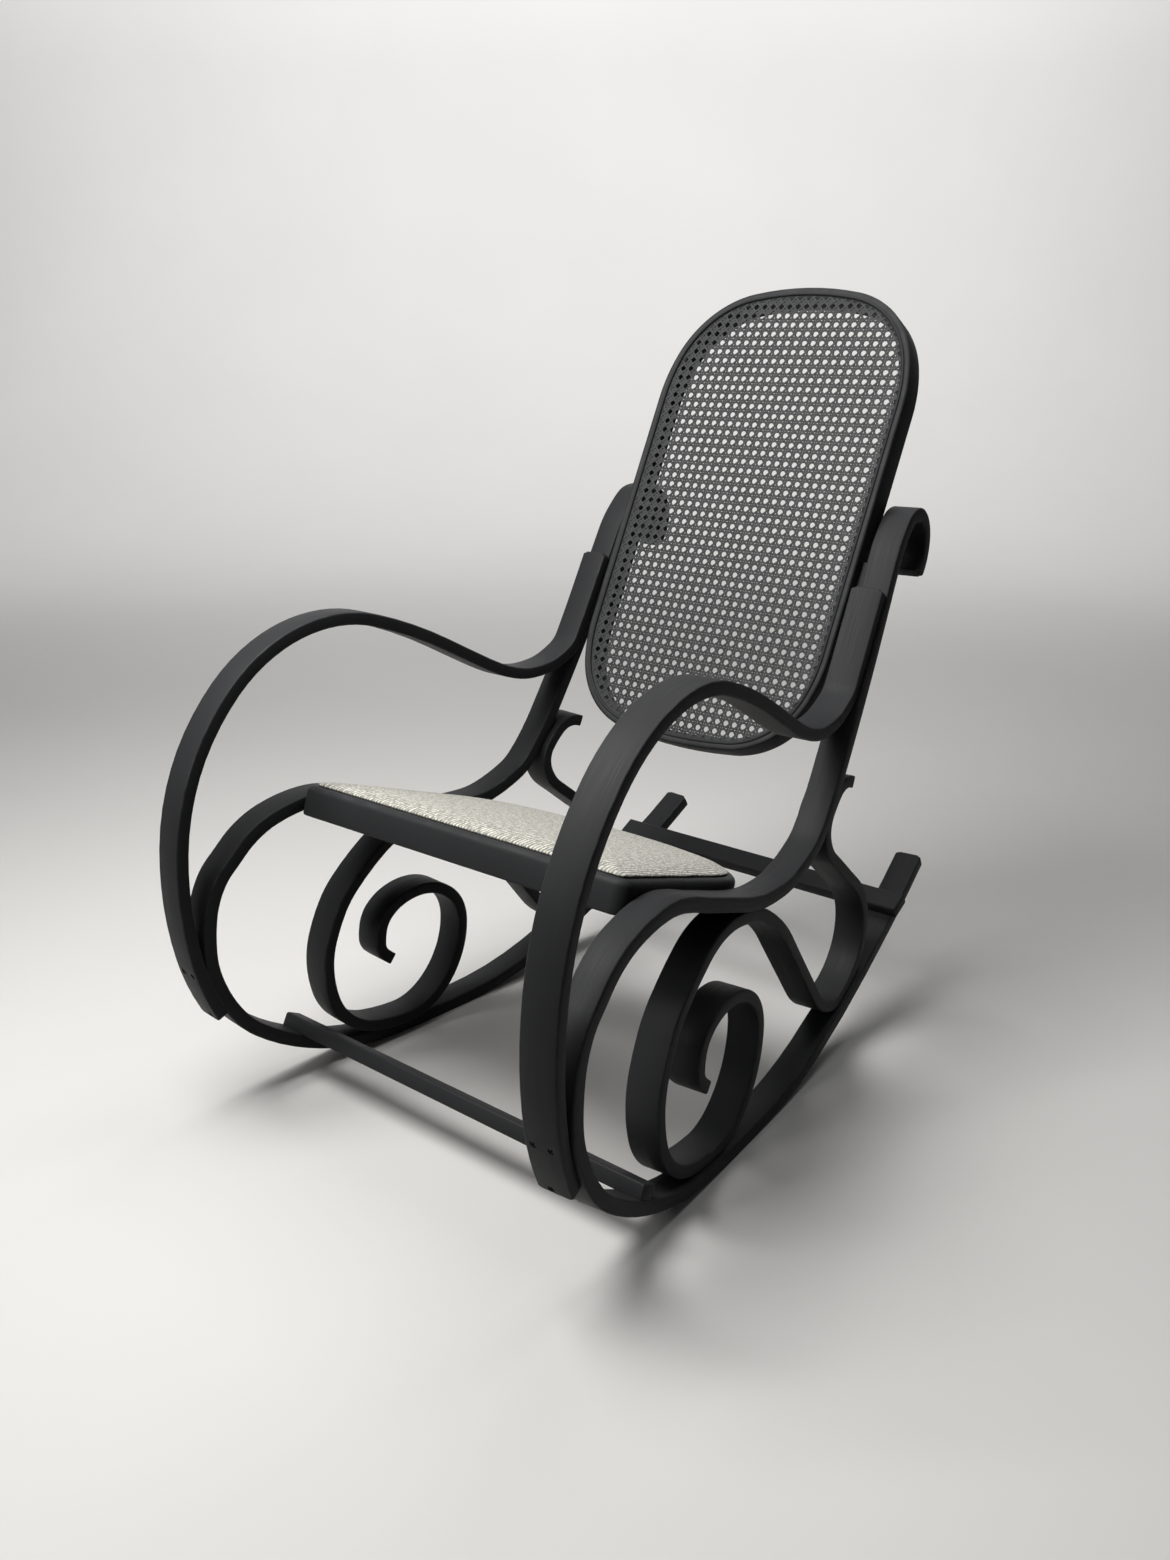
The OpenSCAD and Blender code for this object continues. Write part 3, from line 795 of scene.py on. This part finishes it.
def painted_wood(name, swept):
    """Matt charcoal paint over wood: faint grain, a fine tooth, rubbed long edges, and painted
    highlight where a piece's mask asks for it.
    """
    c = sizes()[3]
    m = Finisher(name)
    coord = m.place()
    way = m.uv("grain") if swept else coord
    grain = m.streaks(way, (9, 420, 420), 4.0, 0.6)
    base = m.uneven(m.noise(coord, 6.0, 2.0), c.paint, 0.88, 1.12)
    colour = m.mix(m.times(m.streaks(way, (3, 60, 60)), 0.35), base, lighter(c.paint, 1.35))
    if swept:
        # Lighter paint in patches where the edge attribute is set: rubbed paint on the strips'
        # long edges, partly painted highlight on the seat ring's top edge and the hoop's front
        # face
        edge = m.node("ShaderNodeAttribute", attribute_name="edge").outputs["Fac"]
        patchy = m.ramp(m.noise(coord, 38.0, 4.0), [(0.42, (0, 0, 0)), (0.68, (1, 1, 1))])
        colour = m.mix(m.times(m.times(edge, patchy), 0.75), colour, tuple(c.paint_wear_and_highlight))
    tooth = m.bump(m.noise(coord, 1500.0, 2.0), 0.00006, 0.5)
    return m.shade(Base_Color=colour, Roughness=m.spread(grain, 0.50, 0.62, 0.3, 0.7),
                   Normal=m.bump(grain, 0.00014, 0.55, tooth), Specular_IOR_Level=0.16)


def seat_cloth():
    """Tweed of light and dark yarn: fine ribs from front to back with flecks between; painted
    shade darkens the rib grooves and the gaps between weft threads.
    """
    c = sizes()[3]
    m = Finisher("seat tweed")
    cloth = m.uv("cloth")

    def rib(axis, pitch, wander):
        return m.node("ShaderNodeTexWave", {
            "Vector": cloth, "Scale": math.pi / (10 * pitch), "Distortion": wander,
            "Detail": 2.0, "Detail Scale": 2.5, "Detail Roughness": 0.6},
            wave_type="BANDS", bands_direction=axis).outputs["Fac"]

    cord, weft = rib("X", 0.0050, 0.5), rib("Y", 0.0021, 1.0)
    fleck = m.streaks(cloth, (420, 300, 1), 3.0, 0.75)
    knot = m.streaks(cloth, (240, 110, 1), 2.0, 0.6)
    light, dark = tuple(c.cloth_light), tuple(c.cloth_dark)
    tone = m.math("ADD", m.times(fleck, 0.62), m.times(knot, 0.38))
    yarn = m.ramp(tone, [(0.42, dark), (0.48, lighter(light, 0.85)), (0.56, lighter(light, 1.5))])
    # Painted shade: the rib grooves are darkened past the dark yarn, as shade falls in them
    painted_groove_shade = m.ramp(cord, [(0.1, (1, 1, 1)), (0.55, (0, 0, 0))])
    colour = m.mix(m.times(painted_groove_shade, 0.85), yarn, lighter(dark, 0.9))
    # Painted shade between the weft threads, where the relief is low
    colour = m.mix(m.times(m.math("SUBTRACT", 1.0, weft), 0.25), colour, lighter(dark, 1.2))
    relief = m.math("ADD", m.times(cord, 0.7), m.math("ADD", m.times(weft, 0.3), tone))
    fuzz = m.bump(m.noise(m.place(), 1500.0, 3.0), 0.0002, 0.5)
    return m.shade(Base_Color=colour, Roughness=0.93, Normal=m.bump(relief, 0.0006, 0.8, fuzz),
                   Sheen_Weight=0.2, Sheen_Roughness=0.5)


def painted_cane():
    """Split cane under a thin coat of the chair's paint, ribbed along each strand."""
    c = sizes()[3]
    m = Finisher("painted cane")
    fibre = m.streaks(m.uv("grain"), (40, 4200, 1), 2.0)
    colour = m.uneven(m.noise(m.place(), 45.0, 3.0), c.cane, 0.8, 1.2)
    colour = m.mix(m.times(fibre, 0.3), colour, lighter(c.cane, 1.4))
    return m.shade(Base_Color=colour, Roughness=0.55, Normal=m.bump(fibre, 0.00008, 0.5),
                   Specular_IOR_Level=0.2)


def plywood():
    m = Finisher("seat board plywood")
    coord = m.place()
    grain = m.streaks(coord, (14, 260, 900), 5.0)
    plies = m.streaks(coord, (2, 2, 620), 1.0)
    colour = m.ramp(grain, [(0.3, (0.36, 0.25, 0.14)), (0.7, (0.56, 0.43, 0.27))])
    colour = m.mix(m.times(plies, 0.4), colour, (0.26, 0.17, 0.09))
    return m.shade(Base_Color=colour, Roughness=0.7, Normal=m.bump(grain, 0.0002, 0.5))


def screw_metal(name, colour, roughness):
    m = Finisher(name)
    brushed = m.streaks(m.place(), (900, 2600, 900))
    return m.shade(Base_Color=m.uneven(brushed, colour, 0.8, 1.15),
                   Roughness=m.spread(brushed, roughness - 0.08, roughness + 0.1),
                   Normal=m.bump(brushed, 0.00003, 0.4), Metallic=1.0)


def plain_floor():
    """Pale to the camera, and darker to the rays that would light the chair from below."""
    c = sizes()[3]
    m = Finisher("pale floor")
    colour = m.uneven(m.noise(m.place(), 1.2, 3.0), c.floor, 0.985, 1.015)
    path = m.node("ShaderNodeLightPath").outputs
    seen = m.math("MAXIMUM", path["Is Camera Ray"],
                  m.math("MAXIMUM", path["Is Glossy Ray"], path["Is Transmission Ray"]))
    return m.shade(Base_Color=m.mix(seen, lighter(c.floor, 0.12), colour), Roughness=0.75,
                   Specular_IOR_Level=0.25)


def material(name, make, *settings):
    return bpy.data.materials.get(name) or make(*settings)


def strip_paint():
    return material("charcoal strips", painted_wood, "charcoal strips", True)


def block_paint():
    return material("charcoal blocks", painted_wood, "charcoal blocks", False)


# Operators, one for each group of pieces

class ROCKER_OT_main_strips(bpy.types.Operator):
    """Bend the main strip of each side frame: rocker, loop, bearer and post in one"""
    bl_idname = "rocker.main_strips"
    bl_label = "Main strips"

    def execute(self, context):
        f = sizes()[0]
        piece = bend_strip("right_main_bend", frame_paths()[0], f.main_width, f.main_thick)
        settle(piece, right_side())
        finish_pair(piece, "main_bend", strip_paint(), "main_strip")
        return {"FINISHED"}


def arm_screw_places():
    """Axes of the arm screws: origin on the strip's face, +Z into the wood."""
    f = sizes()[0]
    _, arm, _, foot = frame_paths()
    places = []
    for across, up in ARM_SCREWS:
        s = where(arm, foot[1] + up, 1)
        side, way = axes(s)
        origin = Vector((s[0], s[1], across)) + side * f.arm_thick / 2
        # columns: across, against the heading, into the wood
        turn = Matrix((Vector((0, 0, 1)), -way, -side)).transposed().to_4x4()
        places.append(arm_place(foot) @ Matrix.Translation(origin) @ turn)
    return places


class ROCKER_OT_arm_strips(bpy.types.Operator):
    """Bend both arm strips and bore their screw holes"""
    bl_idname = "rocker.arm_strips"
    bl_label = "Arm strips"

    def execute(self, context):
        f = sizes()[0]
        _, arm, _, foot = frame_paths()
        piece = bend_strip("right_arm_bend", arm, f.arm_width, f.arm_thick)
        settle(piece, arm_place(foot))
        cut_away(piece, bpy.data.objects["right_main_bend"])
        for place_at in arm_screw_places():
            bpy.ops.mesh.primitive_cylinder_add(
                vertices=32, radius=BORE_RADIUS, depth=2 * BORE_DEPTH)
            cutter = bpy.context.object
            cutter.matrix_world = place_at
            cut_away(piece, cutter)
            bpy.data.objects.remove(cutter)
        finish_pair(piece, "arm_bend", strip_paint(), "arm_strip")
        return {"FINISHED"}


class ROCKER_OT_scroll_strips(bpy.types.Operator):
    """Bend both scroll strips, notched under the seat ring"""
    bl_idname = "rocker.scroll_strips"
    bl_label = "Scroll strips"

    def execute(self, context):
        f = sizes()[0]
        piece = bend_strip("right_scroll_bend", frame_paths()[2], f.scroll_width, f.scroll_thick)
        settle(piece, right_side(f.scroll_in))
        cut_away(piece, bpy.data.objects["seat_ring_bend"])
        finish_pair(piece, "scroll_bend", strip_paint(), "scroll_strip")
        return {"FINISHED"}


class ROCKER_OT_seat_ring(bpy.types.Operator):
    """Make the seat ring with its eased top edge"""
    bl_idname = "rocker.seat_ring"
    bl_label = "Seat ring"

    def execute(self, context):
        s = sizes()[1]
        path = ring_path(s.ring_radius)
        t, h = s.ring_thick, s.ring_height
        piece = add_section("seat_ring_bend", path[0][0], 0, t, -h, 0)
        round_corners(piece, [((0, 0, 0), s.ease, 5), ((0, t, 0), 0.002, 3),
                              ((0, 0, -h), 0.003, 3), ((0, t, -h), 0.002, 3)])
        keep_rim()
        run_along(path)
        object_mode()
        apply_modifier(piece, "MIRROR", merge_threshold=0.0002)
        edit_mode()
        weld(1e-6)
        fix_normals()
        # The top outer edge takes lighter paint in patches: partly rubbed paint, partly painted
        # highlight along the lit top edge
        reach = s.ease / 2
        write_grain(piece, path, lambda co, out: ((out < reach) & (co[:, 2] > -reach)) * 0.6,
                    mirrored=True)
        settle(piece, on_seat())
        finish_piece(piece, strip_paint(), "seat_ring")
        return {"FINISHED"}


class ROCKER_OT_seat_pad(bpy.types.Operator):
    """Stuff and cover the seat pad by simulation"""
    bl_idname = "rocker.seat_pad"
    bl_label = "Seat pad"

    def execute(self, context):
        piece = copy_solid("seat_pad", "seat_pad_cover")
        piece.data.remesh_voxel_size = PAD_VOXEL
        bpy.ops.object.voxel_remesh()
        start = points(piece)
        self.stuff(piece)
        move = points(piece) - start
        size = np.linalg.norm(move, axis=1)
        move *= (np.minimum(size, sizes()[1].pad_swell) / np.maximum(size, 1e-9))[:, None]
        home = np.array(on_solid_seat().inverted())
        local = self.stretch((np.column_stack([start, np.ones(len(start))]) @ home.T)[:, :3])
        move = move @ home[:3, :3].T
        # the cover lies flat on the board and hardly spreads at its foot
        move *= 0.15 + 0.85 * np.clip(local[:, 2] / PAD_FOOT, 0, 1)[:, None]
        move[:, 2] = np.where(local[:, 2] < PAD_FLAT, 0, move[:, 2])
        move_points(piece, local + move)
        apply_modifier(piece, "SUBSURF", levels=1, render_levels=1)
        co = points(piece)
        write_uv(piece, "cloth", co[:, 0], co[:, 1] - co[:, 2])
        settle(piece, on_seat(), 60)
        finish_piece(piece, material("seat tweed", seat_cloth), "seat_pad")
        return {"FINISHED"}

    def stuff(self, piece):
        """Blows the cover up a little, as its filling does."""
        bpy.ops.object.modifier_add(type="CLOTH")
        cloth = piece.modifiers[-1]
        cloth.settings.use_pressure = True
        cloth.settings.uniform_pressure_force = 4.0
        cloth.settings.effector_weights.gravity = 0.0
        cloth.settings.tension_stiffness = 20
        cloth.settings.compression_stiffness = 12
        cloth.point_cache.frame_start = 1
        cloth.point_cache.frame_end = PAD_FRAMES
        for f in range(1, PAD_FRAMES + 1):
            bpy.context.scene.frame_set(f)
        bpy.ops.object.modifier_apply(modifier=cloth.name)
        bpy.context.scene.frame_set(1)

    def reach(self, path, margin, angle):
        """Distance from the seat's middle to an outline inside a path, at some angles."""
        rows = np.array([beside(row, margin)[:2] for row in dense(path)])
        x, t = rows[:, 0], sizes()[1].depth / 2 - rows[:, 1]
        return np.interp(angle, np.arctan2(x, t), np.hypot(x, t))

    def stretch(self, co):
        """Fits the pad to the ring, with squarer front corners and a thin edge."""
        s = sizes()[1]
        mid = s.depth / 2
        x, t = np.abs(co[:, 0]), mid - co[:, 1]
        angle = np.arctan2(x, t)
        old = self.reach(ring_path(s.solid_radius), s.solid_margin, angle)
        new = self.reach(ring_path(s.ring_radius), s.pad_margin, angle)
        share = np.clip(np.hypot(x, t) / old, 0, 1)
        scale = 1 + (new / old - 1) * share ** 2
        soft = np.clip((1 - share) / PAD_SHOULDER, 0, 1)
        height = PAD_THIN + PAD_CROWN * soft * soft * (3 - 2 * soft)
        return np.column_stack([co[:, 0] * scale, mid - t * scale, co[:, 2] * height])


class ROCKER_OT_back_hoop(bpy.types.Operator):
    """Bend the back hoop with its rebate, and the spline that beds the cane"""
    bl_idname = "rocker.back_hoop"
    bl_label = "Back hoop and spline"

    def execute(self, context):
        b = sizes()[2]
        t, d = b.hoop_thick, b.hoop_depth
        rim = t - b.ledge
        start = hoop_path()[0][0]
        y = start[1]
        piece = add_section("back_hoop_bend", start, 0, t, -d, 0)
        for place_at, way in (((0, y + rim, 0), (0, 1, 0)), ((0, y, -b.sink), (0, 0, 1))):
            everything()
            bpy.ops.mesh.bisect(plane_co=place_at, plane_no=way)
        pick(piece, lambda co: (co[:, 1] > y + t - TOUCH) & (co[:, 2] > -TOUCH))
        bpy.ops.mesh.delete(type="VERT")
        bpy.ops.mesh.select_mode(type="FACE")
        everything()
        bpy.ops.mesh.dissolve_faces(use_verts=True)
        round_corners(piece, [((0, y, 0), 0.0035, 4), ((0, y + rim, 0), 0.0022, 3),
                              ((0, y + t, -b.sink), 0.001, 2), ((0, y, -d), 0.0035, 3),
                              ((0, y + t, -d), 0.0035, 3)])
        # The hoop's whole front face takes the lighter paint at half strength: partly rubbed
        # paint, partly painted highlight on the lit face
        self.run_round(piece, lambda co, out: (co[:, 2] > -0.0012) * 0.5, "back_hoop")

        near = rim + SPLINE_GAP
        far = near + SPLINE_WIDTH
        cord = add_section("cane_spline_bend", start, near, far, SPLINE_LOW, SPLINE_TOP)
        round_corners(cord, [((0, y + near, SPLINE_TOP), 0.0022, 5),
                             ((0, y + far, SPLINE_TOP), 0.0022, 5)])
        self.run_round(cord, lambda co, out: out * 0, "cane_spline")
        return {"FINISHED"}

    def run_round(self, piece, wear_and_highlight, node):
        """Sweeps a section round the hoop and finishes it."""
        path = hoop_path()
        keep_rim()
        run_along(path, math.radians(3))
        weld(2e-5)
        fix_normals()
        write_grain(piece, path, wear_and_highlight)
        settle(piece, on_back(), 40)
        finish_piece(piece, strip_paint(), node)


class ROCKER_OT_cane(bpy.types.Operator):
    """Weave the cane: pairs of uprights and crosswise strands, then both diagonals"""
    bl_idname = "rocker.cane"
    bl_label = "Cane"

    def execute(self, context):
        b = sizes()[2]
        p, level = b.cane_pitch, -b.sink + CANE_REST
        half = hoop_half() - b.hoop_thick + b.ledge
        tall = b.height / 2 - b.hoop_thick + b.ledge
        mid = b.rise - b.height / 2
        twin = (b.strand + TWIN_GAP) / 2
        uprights = self.weave("cane_uprights", [(-twin, 1), (twin, -1)], p, p, level, CANE_WAVE,
                              tall, half)
        self.seat(uprights, 0, mid)
        cross = self.weave("cane_crosswise", [(-twin, -1), (twin, 1)], p, p, level, CANE_WAVE,
                           half, tall)
        self.seat(cross, math.pi / 2, mid)
        # half of the web's diagonal extent is 0.707 of this sum, and a little is added
        reach = (half + tall) * 0.72
        slants = []
        for turn, high in zip((math.pi / 4, -math.pi / 4), SLANT_LEVELS):
            slants.append(self.weave(
                "cane_diagonals", [(p / math.sqrt(8), 1)], p * math.sqrt(2), p / math.sqrt(2),
                level + high, SLANT_WAVE, reach, reach))
            self.seat(slants[-1], turn, mid)
        for piece in (uprights, cross, join(slants)):
            self.trim(piece, half + TUCK, tall + TUCK, mid, b.hoop_thick - b.ledge - TUCK)
            settle(piece, on_back(), 50)
            finish_piece(piece, material("painted cane", painted_cane), "cane_web")
        return {"FINISHED"}

    def weave(self, name, strands, period, spacing, level, wave, reach, spread):
        """Strands along +Y, over and under, repeated in both ways about the middle."""
        steps = 6
        only()
        bpy.ops.mesh.primitive_plane_add(size=1, rotation=(-math.pi / 2, 0, 0))
        bpy.context.object.scale = (sizes()[2].strand, STRAND_THICK, 1)
        piece = start_piece(name)
        keep_rim()
        for _ in range(steps):
            bpy.ops.mesh.extrude_edges_move(
                TRANSFORM_OT_translate={"value": (0, period / steps, 0)})
        object_mode()
        co = points(piece)
        write_uv(piece, "grain", co[:, 1], co[:, 0])
        pieces = [piece]
        for _ in strands[1:]:
            bpy.ops.object.duplicate(linked=False)
            pieces.append(bpy.context.object)
        for one, (x, sign) in zip(pieces, strands):
            co = points(one)
            co[:, 2] += level + sign * wave * np.sin(2 * math.pi * co[:, 1] / period)
            co[:, 0] += x
            move_points(one, co)
        if len(pieces) > 1:
            join(pieces)
        rows = 2 * math.ceil(reach / period) + 2
        lanes = 2 * math.ceil(spread / spacing) + 1
        repeat(piece, rows, (0, period, 0), use_merge_vertices=True, merge_threshold=TOUCH)
        repeat(piece, lanes, (spacing, 0, 0))
        piece.location = (-(lanes - 1) / 2 * spacing, -rows / 2 * period, 0)
        freeze()
        return piece

    def seat(self, piece, turn, mid):
        piece.matrix_world = Matrix.Translation((0, mid, 0)) @ Matrix.Rotation(turn, 4, "Z")
        only(piece)
        freeze()

    def trim(self, piece, half, tall, mid, inset):
        """Cuts the strands off under the spline and closes their ends."""
        b = sizes()[2]

        def outside(co):
            x, y = np.abs(co[:, 0]), np.abs(co[:, 1] - mid)
            radius = np.where(co[:, 1] > mid, b.top_radius, b.foot_radius) - inset
            corner = np.hypot(np.maximum(x - half + radius, 0), np.maximum(y - tall + radius, 0))
            return (x > half) | (y > tall) | (corner > radius)

        only(piece)
        pick(piece, outside)
        bpy.ops.mesh.delete(type="VERT")
        pick_open_edges()
        bpy.ops.mesh.fill_holes(sides=0)
        fix_normals()
        object_mode()


class ROCKER_OT_stretchers(bpy.types.Operator):
    """Shape the front and rear stretchers"""
    bl_idname = "rocker.stretchers"
    bl_label = "Stretchers"

    def execute(self, context):
        off = sizes()[0].main_thick / 2 + GLUE
        s = beside(where(chain(place(FRONT)), back(FRONT_BAR_Y)), -off)
        wide, overhang = 0.024, 0.009
        self.bar("front_stretcher", s, s[2] - math.pi, wide, 0.020,
                 outer_x(s[0] + wide / 2, s[1]))
        s = beside(where(chain(place(REAR)), back(REAR_BAR_Y)), off)
        self.bar("rear_stretcher", s, s[2], 0.034, 0.018, outer_x(s[0], s[1]) + overhang)
        return {"FINISHED"}

    def bar(self, node, s, turn, wide, thick, half):
        only()
        bpy.ops.mesh.primitive_cube_add(size=1, location=(0, 0, thick / 2))
        bpy.context.object.scale = (2 * half, wide, thick)
        piece = start_piece(node + "_bar")
        pick(piece, lambda co: co[:, 2] > thick / 2, "EDGE")
        bpy.ops.mesh.bevel(offset=0.0032, segments=4, affect="EDGES")
        object_mode()
        ease_edges(piece)
        settle(piece, Matrix.Translation((0, s[0], s[1] + lift()))
               @ Matrix.Rotation(turn, 4, "X"))
        finish_piece(piece, block_paint(), node)


class ROCKER_OT_blocks(bpy.types.Operator):
    """Finish the seat board and the hoop's spacer blocks"""
    bl_idname = "rocker.blocks"
    bl_label = "Board and spacers"

    def execute(self, context):
        for name in ("left_hoop_spacer", "right_hoop_spacer"):
            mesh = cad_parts[name].data
            mesh.materials.clear()
            mesh.materials.append(block_paint())
        board = copy_solid("seat_board", "seat_board_panel")
        ease_edges(board)
        settle(board, on_seat() @ on_solid_seat().inverted())
        finish_piece(board, material("seat board plywood", plywood), "seat_board")
        return {"FINISHED"}


class ROCKER_OT_screws(bpy.types.Operator):
    """Turn the screws: dark ones in the arms, steel ones in the seat and the hoop"""
    bl_idname = "rocker.screws"
    bl_label = "Screws"

    def execute(self, context):
        f, s, b = sizes()[:3]
        dark = screw_metal("blackened screws", (0.05, 0.05, 0.052), 0.45)
        steel = screw_metal("steel screws", (0.56, 0.56, 0.57), 0.32)
        outward = Matrix.Rotation(math.pi / 2, 4, "Y")
        taper = math.atan((ring_half(s.ring_radius) - ring_half(s.ring_side))
                          / (s.ring_side - s.ring_radius))
        depth = -(s.rise + f.main_thick / 2)
        seat = [on_seat() @ Matrix.Translation((ring_half(t) - s.ring_thick, t, depth))
                @ outward @ Matrix.Rotation(-taper, 4, "X")
                for t in (s.ring_radius + SEAT_SCREW_FRONT, s.ring_side - SEAT_SCREW_REAR)]
        depth = -f.main_thick - b.proud + HOOP_SCREW_RISE
        hoop = [on_back() @ Matrix.Translation((hoop_half() - b.hoop_thick, y, depth)) @ outward
                for y in HOOP_SCREWS]
        self.drive("arm_screws", arm_screw_places(), dark, "dark_screws", 0.027, sunk=0.0008)
        self.drive("seat_screws", seat, steel, "steel_screws", 0.019)
        self.drive("hoop_screws", hoop, steel, "steel_screws", 0.017)
        return {"FINISHED"}

    def drive(self, name, places, finish, slot_name, length, sunk=0.0):
        """One screw with a hollow head, copied to each place on both sides."""
        copies = []
        for place_at in places:
            copies.append(self.screw(length, sunk))
            copies[-1].matrix_world = place_at
            only(copies[-1])
            freeze()
        piece = join(copies)
        piece.name = piece.data.name = "right_" + name + "_set"
        bpy.ops.object.shade_smooth_by_angle(angle=math.radians(35))
        finish_pair(piece, name + "_set", finish, name)

    def screw(self, length, sunk):
        """A screw along +Z: an eased head with a socket, and a shank."""
        only()
        bpy.ops.mesh.primitive_cylinder_add(
            vertices=24, radius=HEAD_RADIUS, depth=HEAD_HEIGHT,
            location=(0, 0, HEAD_HEIGHT / 2 + sunk))
        piece = start_piece("screw")

        def outer_face(co):
            return co[:, 2] < sunk + TOUCH

        pick(piece, outer_face, "FACE")
        bpy.ops.mesh.bevel(offset=0.0005, segments=2, affect="EDGES")
        pick(piece, outer_face, "FACE")
        bpy.ops.mesh.inset(thickness=SOCKET_RIM)
        bpy.ops.mesh.extrude_region_move(
            TRANSFORM_OT_translate={"value": (0, 0, SOCKET_DEPTH)})
        pick(piece, lambda co: co[:, 2] > sunk + HEAD_HEIGHT - TOUCH, "FACE")
        bpy.ops.mesh.inset(thickness=SHANK_STEP)
        bpy.ops.mesh.extrude_region_move(
            TRANSFORM_OT_translate={"value": (0, 0, length - HEAD_HEIGHT - sunk)})
        fix_normals()
        object_mode()
        return piece


class ROCKER_OT_stage(bpy.types.Operator):
    """Lay the floor and backdrop, hang the lights and set up the camera"""
    bl_idname = "rocker.stage"
    bl_label = "Stage"

    def execute(self, context):
        self.lay_floor()
        self.light_world()
        for lamp in LAMPS:
            self.hang(*lamp)
        camera = bpy.data.cameras.new("camera")
        camera.lens, camera.sensor_width, camera.clip_start = 30.2077, 36, 0.05
        eye = bpy.data.objects.new("camera", camera)
        eye.location = EYE
        eye.rotation_euler = [math.radians(a) for a in EYE_TURN]
        bpy.context.scene.collection.objects.link(eye)
        bpy.context.scene.camera = eye
        bpy.context.scene.view_settings.view_transform = "Standard"
        return {"FINISHED"}

    def lay_floor(self):
        """A floor that bends up into a backdrop behind the chair."""
        wide, deep, bend, wall = 18, 8, 2.5, 5
        ahead_by = 0.5
        only()
        bpy.ops.mesh.primitive_plane_add(size=1, location=(0, ahead_by, -0.0005))
        bpy.context.object.scale = (wide, deep, 1)
        floor = start_piece("floor")
        pick(floor, lambda co: co[:, 1] > 0, "EDGE")
        bpy.ops.mesh.spin(steps=32, angle=-math.pi / 2, center=(0, ahead_by + deep / 2, bend),
                          axis=(1, 0, 0))
        bpy.ops.mesh.extrude_edges_move(TRANSFORM_OT_translate={"value": (0, 0, wall)})
        settle(floor, Matrix.Rotation(math.radians(39.07), 4, "Z"), 60)
        floor.data.materials.append(plain_floor())

    def light_world(self):
        """A faint sky that looks brighter to the camera than it shines on the chair."""
        world = bpy.data.worlds.new("studio")
        bpy.context.scene.world = world
        world.use_nodes = True
        tree = world.node_tree
        back = tree.nodes["Background"]
        back.inputs["Color"].default_value = (0.95, 0.97, 1, 1)
        seen = tree.nodes.new("ShaderNodeLightPath")
        strength = tree.nodes.new("ShaderNodeMapRange")
        strength.inputs["To Min"].default_value = 0.05
        strength.inputs["To Max"].default_value = 0.7
        tree.links.new(seen.outputs["Is Camera Ray"], strength.inputs["Value"])
        tree.links.new(strength.outputs["Result"], back.inputs["Strength"])

    def hang(self, name, place_at, target, wide, tall, power, colour):
        light = bpy.data.lights.new(name, "AREA")
        light.shape = "RECTANGLE"
        light.size, light.size_y = wide, tall
        light.energy = power
        light.color = colour
        lamp = bpy.data.objects.new(name, light)
        lamp.location = place_at
        way = Vector(target) - Vector(place_at)
        lamp.rotation_euler = way.to_track_quat("-Z", "Y").to_euler()
        bpy.context.scene.collection.objects.link(lamp)


STEPS = (ROCKER_OT_main_strips, ROCKER_OT_seat_ring, ROCKER_OT_arm_strips,
         ROCKER_OT_scroll_strips, ROCKER_OT_stretchers, ROCKER_OT_blocks, ROCKER_OT_seat_pad,
         ROCKER_OT_back_hoop, ROCKER_OT_cane, ROCKER_OT_screws, ROCKER_OT_stage)


class ROCKER_PT_pieces(bpy.types.Panel):
    """Sizes, colours and pieces of the rocking chair"""
    bl_idname = "ROCKER_PT_pieces"
    bl_label = "Rocking chair"
    bl_space_type = "VIEW_3D"
    bl_region_type = "UI"
    bl_category = "Rocker"

    def draw(self, context):
        scene = context.scene
        for title, group in (("Side frames", scene.rocker_frame), ("Seat", scene.rocker_seat),
                             ("Back", scene.rocker_back), ("Finish", scene.rocker_finish)):
            box = self.layout.box()
            box.label(text=title)
            for key in group.__annotations__:
                box.prop(group, key)
        for step in STEPS:
            self.layout.operator(step.bl_idname)


GROUPS = {"rocker_frame": FrameSizes, "rocker_seat": SeatSizes, "rocker_back": BackSizes,
          "rocker_finish": Finish}


def register():
    for group in GROUPS.values():
        bpy.utils.register_class(group)
    for key, group in GROUPS.items():
        setattr(bpy.types.Scene, key, bpy.props.PointerProperty(type=group))
    for step in STEPS + (ROCKER_PT_pieces,):
        bpy.utils.register_class(step)


def unregister():
    for step in reversed(STEPS + (ROCKER_PT_pieces,)):
        bpy.utils.unregister_class(step)
    for key in GROUPS:
        delattr(bpy.types.Scene, key)
    for group in GROUPS.values():
        bpy.utils.unregister_class(group)


def main():
    register()
    bpy.ops.rocker.stage()
    bpy.ops.rocker.main_strips()
    bpy.ops.rocker.seat_ring()
    bpy.ops.rocker.arm_strips()
    bpy.ops.rocker.scroll_strips()
    bpy.ops.rocker.stretchers()
    bpy.ops.rocker.blocks()
    bpy.ops.rocker.seat_pad()
    bpy.ops.rocker.back_hoop()
    bpy.ops.rocker.cane()
    bpy.ops.rocker.screws()
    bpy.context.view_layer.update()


if __name__ == "__main__":
    main()
